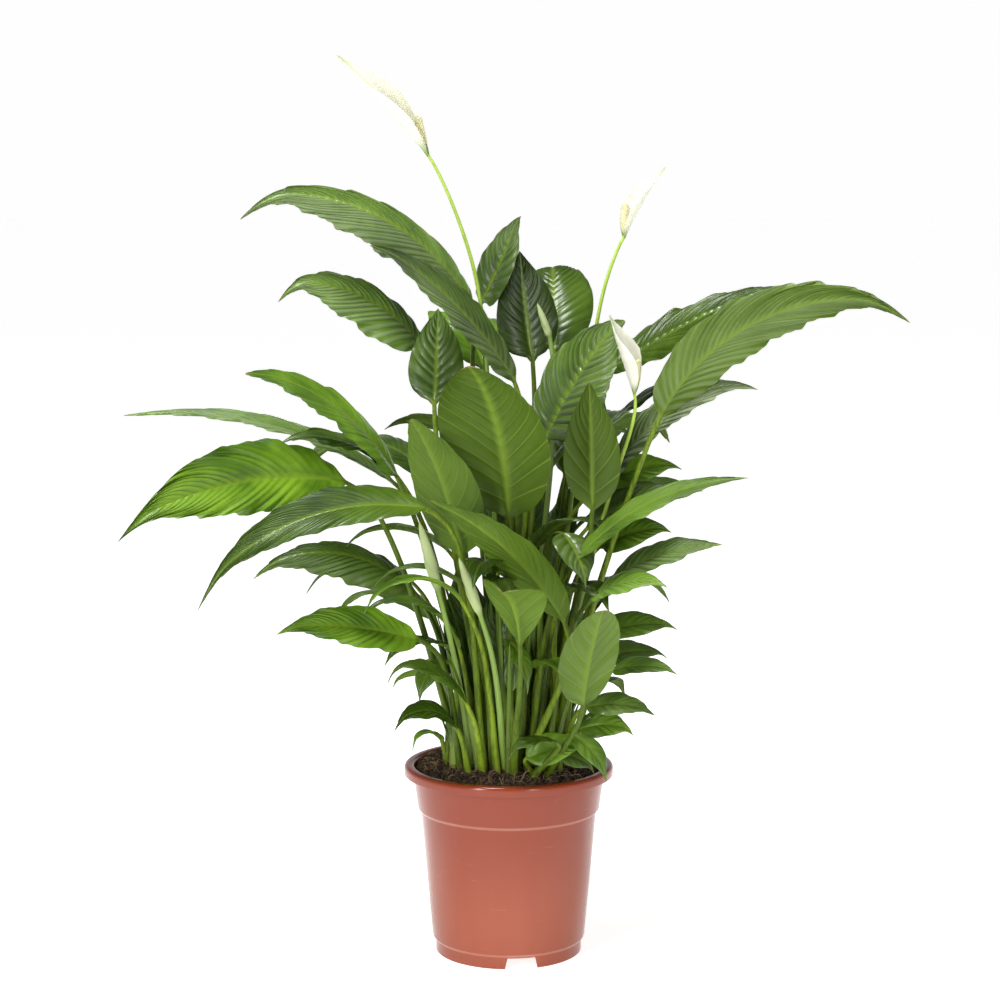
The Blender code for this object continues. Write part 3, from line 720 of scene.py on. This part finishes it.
def spatheGrid(centres, sides, width, wrap, fullness, form):
    # A spindle-shaped sheet furled into a hood: across it, the sheet follows an arc whose angle
    # shrinks towards the tip, and one edge lies outside the other.
    last = len(centres) - 1
    where = np.linspace(0, last, form["rows"])
    middle = curveThrough(centres, where)
    side = curveThrough(sides, np.clip(where - form["stemRings"], 0, len(sides) - 1))
    side, normal = squared(middle, side)
    angle = circle(form["around"])
    v = np.cos(angle)
    over = np.sin(angle) >= -1e-9
    u = (where / last)[:, None]
    spindle = np.sin(math.pi * np.clip(u, 0, 1) ** 0.8) ** 1.25
    spindle = spindle * (1 - 0.25 * smoothStep(0.6, 1.0, u))
    foot = form["footHalf"] * millimetre * (1 - smoothStep(0, 0.5, u))
    half = width / 2 * fullness * spindle + foot + form["leastHalf"] * millimetre
    furl = wrap * (1 - 0.55 * smoothStep(0.2, 0.95, u))
    ripple = unevenWave(np.random.default_rng(3), u * 2.2 + 0.1 * v) * v * v * form["margin"]
    radius = half / furl * (1 + 0.10 * v) + ripple * np.sin(math.pi * u) * millimetre
    skin = form["skinThickness"] / 2 * np.sqrt(np.maximum(1 - v ** 8, 0)) * millimetre
    rib = np.exp(-(v * half / (form["ribRadius"] * millimetre)) ** 2)
    reach = radius + np.where(over, -skin, skin + 0.5 * millimetre * rib)
    across = reach * np.sin(furl * v)
    lift = half / furl - reach * np.cos(furl * v)
    grid = besidePath(middle[:, None], side[:, None], normal[:, None], across, lift)
    streaks = np.abs(np.sin(math.pi * form["veins"] * v)) ** 6 * np.ones_like(u)
    return grid, dict(along=u, rib=rib, vein=streaks)


def tubeGrid(centres, radius, rows, around, reference):
    # A round tube on the curve; radius may change along it and round it.
    where = np.linspace(0, len(centres) - 1, rows)
    middle = curveThrough(centres, where)
    side, normal = squared(middle, reference)
    angle = circle(around)
    reach = np.broadcast_to(radius, (rows, around))
    return besidePath(middle[:, None], side[:, None], normal[:, None],
                      reach * np.cos(angle), reach * np.sin(angle))


flowerNames = [name[:-6] for name in frame["nodes"] if name.endswith("_stalk")]
sideways = np.array([[0.0, 1.0, 0.0]])
for name in flowerNames:
    hoodCentres, sides, width, _ = skeleton(name + "_spathe", spatheForm["stemRings"])
    grid, facts = spatheGrid(hoodCentres, sides, width, form=spatheForm, **spatheShapes[name])
    gridPiece(name + "_spathe_grown", grid, paleMaterial(name + "_spathe_skin", 0.55), facts,
              (name + "_spathe",))

    # The stalk runs on into the hood's base, and the spadix leaves from there.
    form = stalkForm
    base = hoodCentres[0] * 0.5 + hoodCentres[1] * 0.5
    centres = np.vstack([middlesOf(tubeRings(name + "_stalk")), hoodCentres[:1], base[None]])
    for _ in range(form["smoothings"]):
        centres[1:-1] = centres[:-2] * 0.25 + centres[1:-1] * 0.5 + centres[2:] * 0.25
    share = np.linspace(0, 1, form["rows"])[:, None]
    thick = form["foot"] + (form["top"] - form["foot"]) * share
    thick = thick * (1 - 0.35 * smoothStep(0.93, 1.0, share))
    grid = tubeGrid(centres, thick * millimetre, form["rows"], form["around"], sideways)
    gridPiece(name + "_stalk_grown", grid, stalkMaterial(name + "_stalk_skin"), dict(along=share),
              (name + "_stalk",))

    # Two families of spirals cross on the spadix, and a floret swells where both are high.
    form = spadixForm
    centres = middlesOf(loftRings(name + "_spadix"))
    back = np.linspace(1, 0, len(centres))[:, None] ** 1.5
    centres = centres + (base - centres[0]) * back
    share = np.linspace(0, 1, form["rows"])[:, None]
    turn = np.linspace(0, 1, form["around"], endpoint=False)[None]
    body = form["radius"] * np.sqrt(np.maximum(1 - (2 * share - 1) ** 4, 0))
    body = body * smoothStep(-0.1, 0.35, share) * (1.05 - 0.25 * share) + form["least"]
    rising = form["florets"] * share
    winding = form["floretTurns"] * turn
    lattice = np.abs(np.sin(math.pi * (rising + winding)) * np.sin(math.pi * (rising - winding)))
    reach = (body + form["floretDepth"] * lattice * np.minimum(body, 1)) * millimetre
    grid = tubeGrid(centres, reach, form["rows"], form["around"], sideways)
    gridPiece(name + "_spadix_grown", grid, spadixMaterial(name + "_spadix_skin"),
              dict(bead=lattice), (name + "_spadix",))

budNames = [name for name in frame["nodes"] if name.startswith("bud_")]
for name in budNames:
    # A seam winds up the rolled part, which is slimmer than the frame's.
    form = budForm
    rings = loftRings(name)
    where = np.linspace(0, len(rings) - 1, form["rows"])
    reach = np.interp(where, np.arange(len(rings)), radiiOf(rings))[:, None]
    turn = circle(form["around"])
    rolled = smoothStep(form["stemRings"], form["stemRings"] + 2, where)[:, None]
    fromSeam = np.mod(turn + where[:, None] * form["seamTurn"], 2 * math.pi) - math.pi
    seam = np.exp(-(fromSeam / form["seamWidth"]) ** 2)
    slim = 1 - (1 - budSlimness[name]) * rolled
    reach = reach * slim * (1 - form["seamDepth"] * seam * rolled) + form["least"] * millimetre
    grid = tubeGrid(middlesOf(rings), reach, form["rows"], form["around"], sideways)
    along = (where - form["stemRings"]) / (len(rings) - 1 - form["stemRings"])
    facts = dict(along=along[:, None], rib=seam * rolled,
                 vein=np.abs(np.sin(3 * turn)) * np.ones_like(reach))
    gridPiece(name + "_grown", grid, paleMaterial(name + "_skin", 0.6, **budColours), facts,
              (name,))
print("flowers", len(flowerNames), "buds", len(budNames))


# Pot

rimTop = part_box("pot_rim")[1]
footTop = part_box("pot_foot")[1]
potForm = dict(columns=360, height=rimTop[2] / millimetre, rim=rimTop[0] / millimetre, lip=8.0,
               wall=1.5, floor=1.8, rounding=1.2, rimRounding=3.4,
               collarTop=144.0, collarTopRadius=77.2, collarBottom=119.0,
               collarBottomRadius=74.0, bodyTop=117.0, bodyTopRadius=71.5, bodyBottom=12.0,
               bodyBottomRadius=62.0, footHeight=10.0, footRadius=footTop[0] / millimetre,
               notches=3, notchStart=-80.0, notchWidth=25.0, notchHeight=9.0, notchEdge=0.7,
               wallDrop=2.4, hub=0.01, arcSteps=6)
potFinish = dict(upperShaded=((0.205, 0.029, 0.009), (0.250, 0.041, 0.013)),
                 lowerLit=((0.265, 0.052, 0.020), (0.325, 0.076, 0.036)),
                 ledgeHighlight=(0.60, 0.34, 0.26), scuff=(0.50, 0.20, 0.13), soil=(0.07, 0.035, 0.02),
                 rimDust=(0.149, 0.155), footDust=(0.016, 0.002), fade=(0.125, 0.03),
                 ledges=((0.1165, 0.1175, 0.1200, 0.1188), (0.0095, 0.0102, 0.0125, 0.0118)))


def potMaterial():
    # Moulded terracotta plastic: faint flow marks, light scuffs, soil dust at the rim and foot.
    # Painted light: paler and lighter towards the foot, a painted floor reflection, and darker
    # higher up, painted shade; a painted highlight runs along each ledge. Heights in the finish
    # are metres; a ledge fades in over its first two and out over the others.
    bench = materialBench("potPlastic")
    finish = potFinish
    height = bench.axis(bench.place(), 2)
    cloud = bench.noise(9.0)
    flow = bench.noise(1.0, vector=bench.stretched((60.0, 60.0, 4.0)))
    grain = bench.noise(900.0)
    streaks = bench.noise(1.0, 6.0, bench.stretched((40.0, 40.0, 900.0)))
    scratch = bench.step(streaks, 0.68, 0.76)
    dust = bench.step(bench.noise(420.0, 5.0), 0.60, 0.70)
    nearRim = bench.step(height, *finish["rimDust"])
    nearFoot = bench.step(height, *finish["footDust"])
    upper, lower = (bench.step(height, low, full) * bench.step(height, none, top)
                    for low, full, none, top in finish["ledges"])
    mottle = cloud * 0.6 + flow * 0.4
    # Painted light: paler and lighter towards the foot, a painted floor reflection, and darker higher
    # up, painted shade.
    colour = bench.blend(bench.step(height, *finish["fade"]), bench.blend(mottle, *finish["upperShaded"]),
                         bench.blend(mottle, *finish["lowerLit"]))
    # A lighter line on the ledge under the collar and on the step above the foot: a painted highlight
    # where light grazes them.
    colour = bench.blend((upper + lower) * 0.28, colour, finish["ledgeHighlight"])
    colour = bench.blend(scratch * 0.3, colour, finish["scuff"])
    colour = bench.blend(dust * (nearRim + nearFoot * 0.7) * 0.75, colour, finish["soil"])
    rough = 0.15 + cloud * 0.09 + dust * nearRim * 0.3
    bumps = grain * 0.3 + flow * 0.6 + scratch * 0.4
    return bench.finish(bench.shader(Base_Color=colour, Roughness=rough, IOR=1.45,
                                     Normal=bench.bump(bumps, 0.12 * millimetre, 0.5)))


def roundedProfile(corners, radius, steps):
    # The outline with each corner replaced by a short arc of quadratic curve.
    middle = corners[1:-1]
    before = corners[:-2] - middle
    after = corners[2:] - middle
    gap = np.minimum(np.linalg.norm(before, axis=1), np.linalg.norm(after, axis=1)) * 0.45
    reach = np.minimum(radius, gap)[:, None, None]
    share = np.linspace(0, 1, steps)[None, :, None]
    start = middle[:, None] + unit(before)[:, None] * reach
    stop = middle[:, None] + unit(after)[:, None] * reach
    arcs = ((1 - share) ** 2 * start + 2 * share * (1 - share) * middle[:, None]
            + share ** 2 * stop)
    return np.vstack([corners[:1], arcs.reshape(-1, 2), corners[-1:]])


def potInside(height):
    # The inner wall, straight from the floor to the body's top and on to the collar's top.
    form = potForm
    stations = [form["bodyBottom"], form["bodyTop"], form["collarTop"]]
    radii = [form["bodyBottomRadius"], form["bodyTopRadius"], form["collarTopRadius"]]
    return np.interp(height, stations, radii) - form["wall"]


def buildPot():
    form = potForm
    floorTop = form["footHeight"] + form["floor"]
    rim = form["rim"]
    top = form["height"]
    collar = form["collarTopRadius"]
    foot = form["footRadius"]
    footInside = foot - form["wall"]
    lipInside = rim - form["wall"]
    lipBottom = top - form["lip"]
    wallTop = top - form["wallDrop"]
    corners = np.array([
        (form["hub"], floorTop), (potInside(floorTop), floorTop),
        (potInside(form["bodyTop"]), form["bodyTop"]),
        (potInside(form["collarTop"]), form["collarTop"]),
        (collar - 0.9, wallTop), (collar + 0.6, top), (rim, top), (rim, lipBottom),
        (lipInside, lipBottom), (lipInside, wallTop), (collar + 0.8, wallTop),
        (collar, form["collarTop"]), (form["collarBottomRadius"], form["collarBottom"]),
        (form["bodyTopRadius"], form["bodyTop"]), (form["bodyBottomRadius"], form["bodyBottom"]),
        (foot, form["footHeight"]), (foot, 0), (footInside, 0), (footInside, form["footHeight"]),
        (form["hub"], form["footHeight"]),
    ])
    rounding = np.where(corners[1:-1, 0] > rim - 0.1, form["rimRounding"], form["rounding"])
    profile = roundedProfile(corners, rounding, form["arcSteps"])
    angle = circle(form["columns"])
    radius = profile[:, :1] * np.ones_like(angle)
    height = profile[:, 1:] * np.ones_like(angle)
    start = math.radians(form["notchStart"])
    spacing = 2 * math.pi / form["notches"]
    offset = np.abs(np.mod(angle - start + spacing / 2, spacing) - spacing / 2) * foot
    half = form["notchWidth"] / 2
    opening = 1 - smoothStep(half - form["notchEdge"], half + form["notchEdge"], offset)
    ring = (radius > footInside - 0.1) & (height < form["notchHeight"])
    height = np.where(ring, np.maximum(height, opening * form["notchHeight"]), height)
    grid = np.stack([radius * np.cos(angle), radius * np.sin(angle), height], axis=-1) * millimetre
    gridPiece("pot_moulded", grid, potMaterial(), None,
              ("pot_rim", "pot_wall", "pot_floor", "pot_foot"))


buildPot()
print("pot")


# Soil

soilForm = dict(crown=159.0, shoulder=156.5, shoulderRadius=56.0, edge=152.0, rows=150,
                columns=420, clump=8.0, waves=46, gap=0.4, calmEdge=6.0)
collarInside = potInside(potForm["collarTop"])
soilEdge = collarInside - soilForm["gap"]
random = np.random.default_rng(11)
waveTurn = random.uniform(0, 2 * math.pi, soilForm["waves"])
wavePitch = 2 ** random.uniform(-4.6, -1.2, soilForm["waves"]) * 2 * math.pi
wavePhase = random.uniform(0, 2 * math.pi, soilForm["waves"])


def soilHeight(x, y):
    # The mound plus a sum of waves in random directions, smaller the shorter they are.
    form = soilForm
    radius = np.hypot(x, y)
    mound = np.interp(radius, [0, form["shoulderRadius"], soilEdge],
                      [form["crown"], form["shoulder"], form["edge"]])
    along = x[..., None] * np.cos(waveTurn) + y[..., None] * np.sin(waveTurn)
    waves = np.sin(along * wavePitch + wavePhase) / wavePitch ** 0.75
    rough = waves.sum(axis=-1) * form["clump"] / form["waves"]
    return mound + rough * smoothStep(0, form["calmEdge"], soilEdge - radius) - form["gap"]


def soilMaterial(name, dark, light):
    bench = materialBench(name)
    coarse = bench.noise(160.0, 5.0)
    fine = bench.noise(900.0, 4.0)
    colour = bench.blend(bench.step(coarse * 0.6 + fine * 0.5, 0.4, 0.75), dark, light)
    return bench.finish(bench.shader(Base_Color=colour, Roughness=0.85 + fine * 0.12,
                                     Normal=bench.bump(coarse + fine, 0.6 * millimetre, 0.9)))


def buildSoil():
    form = soilForm
    angle = circle(form["columns"])
    radius = np.linspace(0.02, soilEdge, form["rows"])[:, None] * np.ones_like(angle)
    x = radius * np.cos(angle)
    y = radius * np.sin(angle)
    top = np.stack([x, y, soilHeight(x, y)], axis=-1)
    levels = np.array([potForm["collarTop"], potForm["bodyTop"],
                       potForm["bodyBottom"] + form["gap"]])
    wall = (potInside(levels) - form["gap"])[:, None] * np.ones_like(angle)
    sides = np.stack([wall * np.cos(angle), wall * np.sin(angle),
                      levels[:, None] * np.ones_like(angle)], axis=-1)
    grid = np.vstack([top, sides]) * millimetre
    material = soilMaterial("peat", (0.009, 0.005, 0.002), (0.060, 0.031, 0.013))
    gridPiece("soil_surface", grid, material, None, ("soil",))


def scatter(count, inner, outer):
    # Places spread evenly by area over the ring between two radii.
    reach = np.sqrt(random.uniform(inner ** 2, outer ** 2, count))
    turn = random.uniform(0, 2 * math.pi, count)
    return reach * np.cos(turn), reach * np.sin(turn)


crumbForm = dict(count=3000, rings=3, sides=6, fromAxis=2.0, fromWall=3.5, spread=2.6, least=0.3)


def buildCrumbs():
    # Each crumb is a ball of three rings between two poles, pushed in and out at random.
    form = crumbForm
    phi = np.linspace(0, math.pi, form["rings"] + 2)[1:-1, None]
    turn = circle(form["sides"])
    ball = np.stack([np.sin(phi) * np.cos(turn), np.sin(phi) * np.sin(turn),
                     np.cos(phi) * np.ones_like(turn)], axis=-1).reshape(-1, 3)
    top = len(ball)
    ball = np.vstack([ball, upright, -upright])
    index, after, quads = gridFaces(form["rings"], form["sides"])
    quads = quads[:, [0, 3, 2, 1]]
    upperCap = np.stack([np.full_like(index[0], top), index[0], after[0]], axis=-1)
    lowerCap = np.stack([np.full_like(index[0], top + 1), after[-1], index[-1]], axis=-1)
    faces = np.vstack([quads[:, :3], quads[:, [0, 2, 3]], upperCap, lowerCap])
    count = form["count"]
    x, y = scatter(count, form["fromAxis"], collarInside - form["fromWall"])
    size = random.uniform(0.5, 1.0, count) ** 2 * form["spread"] + form["least"]
    shape = ball[None] * random.uniform(0.6, 1.25, (count, len(ball), 1))
    stretch = random.uniform(0.6, 1.3, (count, 1, 3))
    centre = np.stack([x, y, soilHeight(x, y) + size * 0.25], axis=-1)
    points = (centre[:, None] + shape * stretch * size[:, None, None]).reshape(-1, 3)
    material = soilMaterial("crumbs", (0.011, 0.006, 0.002), (0.085, 0.043, 0.018))
    meshPiece("soil_crumbs", points * millimetre, [copied(faces, count, len(ball))], material,
              None)


fibreForm = dict(count=520, rows=9, sides=3, fromAxis=30.0, fromWall=4.0, edge=1.0, lift=0.1)


def buildFibres():
    # Each fibre is a three-sided strand along a short arc that lies on the soil.
    form = fibreForm
    count = form["count"]
    x, y = scatter(count, form["fromAxis"], collarInside - form["fromWall"])
    length = random.uniform(5, 20, count)[:, None]
    heading = random.uniform(0, 2 * math.pi, count)[:, None]
    curl = random.uniform(-1.4, 1.4, count)[:, None]
    share = np.linspace(-0.5, 0.5, form["rows"])[None]
    turn = heading + curl * share
    px = x[:, None] + length * share * np.cos(turn)
    py = y[:, None] + length * share * np.sin(turn)
    inward = np.minimum(1, (collarInside - form["edge"]) / np.hypot(px, py))
    px = px * inward
    py = py * inward
    arch = random.uniform(0.5, 6.5, count)[:, None] * (1 - 4 * share ** 2)
    middle = np.stack([px, py, soilHeight(px, py) + arch + form["lift"]], axis=-1)
    corner = circle(form["sides"])
    thick = random.uniform(0.15, 0.42, count)[:, None, None] * (1 - 3 * share[..., None] ** 2)
    _, side = levelVectors(turn)
    ring = besidePath(middle[:, :, None], side[:, :, None], upright,
                      thick * np.cos(corner), thick * np.sin(corner))
    index, _, quads = gridFaces(form["rows"], form["sides"])
    ends = np.stack([index[0], index[-1][::-1]])
    faceSets = [copied(faces, count, index.size) for faces in (quads[:, [0, 3, 2, 1]], ends)]
    meshPiece("soil_fibres", ring.reshape(-1, 3) * millimetre, faceSets,
              soilMaterial("fibres", (0.10, 0.058, 0.028), (0.40, 0.28, 0.16)), None)


for name, (foot, joint, heading, length, width, rise, fall, roll, tone) in youngLeaves.items():
    random = seedOf(name)
    centres, sides = youngSkeleton(foot, joint, heading, length, rise, fall, roll, youngForm)
    radii = [2.4 * millimetre, (0.9 + width * 0.015) * millimetre]
    grid, facts = leafGrid(centres, sides, width * millimetre, radii, random, youngForm)
    slot = "leaf_" + tone
    # A random tone for shade, and a little painted sheen at random.
    material = leafMaterial(name + "_skin", slot, random.uniform(0.75, 1.1),
                            random.uniform(0, 0.08), random.uniform(0.1, 1.0))
    gridPiece(name, grid, material, facts)
print("young leaves", len(youngLeaves))


# Rolled young leaves among the stems

spearForm = dict(count=44, reach=(46.0, 38.0), centre=(0.0, -8.0), lowest=55.0, tallest=200.0,
                 footRadius=4.2, flatness=0.6, lean=11.0, rows=26, around=14,
                 spiral=2.39996, rootDepth=6)


def buildSpears():
    # Feet lie on a sunflower spiral. Each is a flattened cone on an arc that leans outward, and
    # its radius is the foot's times a falling power of what is left of its height.
    form = spearForm
    count = form["count"]
    order = np.arange(count)
    turn = order * form["spiral"]
    reach = np.sqrt((order + 0.5) / count)
    foot = np.stack([form["centre"][0] + form["reach"][0] * reach * np.cos(turn),
                     form["centre"][1] + form["reach"][1] * reach * np.sin(turn)], axis=-1)
    tall = random.uniform(form["lowest"], form["tallest"], count) * (1.15 - 0.5 * reach)
    lean = np.radians(form["lean"]) * (reach + random.uniform(-0.2, 0.5, count))
    share = np.linspace(0, 1, form["rows"])[None, :, None]
    outward, level = (vectors[:, None] for vectors in levelVectors(turn))
    tall = tall[:, None, None]
    lean = lean[:, None, None]
    depth = np.full((count, 1), soilForm["shoulder"] - form["rootDepth"])
    middle = np.concatenate([foot, depth], axis=1)[:, None]
    middle = middle + upright * tall * share + outward * tall * share * np.sin(lean) * (0.5 + share)
    angle = circle(form["around"])
    radius = form["footRadius"] * (np.maximum(1 - share, 0) ** 0.7 * 0.9 + 0.04)
    seam = 1 - 0.25 * np.exp(-((np.mod(angle + share * 5, 2 * math.pi) - math.pi) / 0.5) ** 2)
    radius = radius * seam
    ring = besidePath(middle[:, :, None], level[:, :, None], outward[:, :, None],
                      radius * np.cos(angle), radius * form["flatness"] * np.sin(angle))
    index, _, quads = gridFaces(form["rows"], form["around"])
    ends = np.stack([index[0][::-1], index[-1]])
    along = np.broadcast_to(share, ring.shape[:3]).ravel()
    meshPiece("young_spears", ring.reshape(-1, 3) * millimetre,
              [copied(faces, count, index.size) for faces in (quads, ends)],
              stalkMaterial("spear_skin", (0.15, 0.21, 0.035), (0.075, 0.145, 0.008)),
              dict(along=along))


random = np.random.default_rng(5)
buildSpears()
buildSoil()
buildCrumbs()
buildFibres()
print("soil")


# Floor, light and camera

white = (1.0, 1.0, 1.0, 1.0)
studio = dict(lens=90.4, sensor=36.0, floorReach=30.0, camera=(-0.0071, -2.0, 0.634),
              pitch=82.5, horizon=0.99, zenith=0.19, frontDim=0.72, floorGlow=0.775)
lampForms = {
    "topLight": dict(place=(-0.35, -0.35, 2.2), target=(0, 0, 0.35), size=(0.55, 0.5), power=44),
    "leftLight": dict(place=(-1.25, -1.95, 1.0), target=(0, 0, 0.3), size=(0.28, 1.2), power=27),
    "rightLight": dict(place=(0.95, -1.95, 0.8), target=(0, 0, 0.3), size=(0.22, 0.9), power=9),
}


def areaLight(name, place, target, size, power):
    # A lamp shines down its own axis, so it is tipped from that and then turned to the target.
    lamp = bpy.data.lights.new(name, "AREA")
    lamp.shape = "RECTANGLE"
    lamp.size, lamp.size_y = size
    lamp.energy = power
    light = placed(name, lamp)
    light.location = place
    away = np.array(target) - np.array(place)
    flat = math.hypot(away[0], away[1])
    light.rotation_euler = (math.atan2(flat, -away[2]), 0, math.atan2(-away[0], away[1]))


def buildStudio():
    # The sky is bright in a low band that dims towards the front, and even above it.
    bench = materialBench("paleFloor")
    colour = bench.blend(bench.noise(0.4), (0.84, 0.84, 0.84), (0.87, 0.87, 0.87))
    material = bench.finish(bench.shader(Base_Color=colour, Roughness=0.8, Emission_Color=white,
                                         Emission_Strength=studio["floorGlow"]))
    mesh = bpy.data.meshes.new("floor")
    reach = studio["floorReach"]
    corners = [(-reach, -reach, 0), (reach, -reach, 0), (reach, reach, 0), (-reach, reach, 0)]
    mesh.from_pydata(corners, [], [(0, 1, 2, 3)])
    mesh.materials.append(material)
    placed("floor", mesh)

    world = bpy.data.worlds.new("studio")
    bpy.context.scene.world = world
    sky = Bench(world)
    direction = sky.add("ShaderNodeTexCoord", output="Generated")
    zenith = studio["zenith"]
    dim = studio["frontDim"]
    band = sky.step(sky.axis(direction, 2), 0.36, 0.09) * (studio["horizon"] - zenith)
    behind = dim + sky.step(sky.axis(direction, 1), -0.7, 0.1) * (1 - dim)
    glow = sky.add("ShaderNodeBackground", inputs={"Color": white,
                                                   "Strength": band * behind + zenith})
    sky.add("ShaderNodeOutputWorld", inputs={"Surface": glow})
    for name, form in lampForms.items():
        areaLight(name, **form)

    lens = bpy.data.cameras.new("camera")
    lens.lens = studio["lens"]
    lens.sensor_width = studio["sensor"]
    camera = placed("camera", lens)
    camera.location = studio["camera"]
    camera.rotation_euler = (math.radians(studio["pitch"]), 0, 0)
    bpy.context.scene.camera = camera
    bpy.context.scene.view_settings.view_transform = "Standard"


buildStudio()
print("studio")
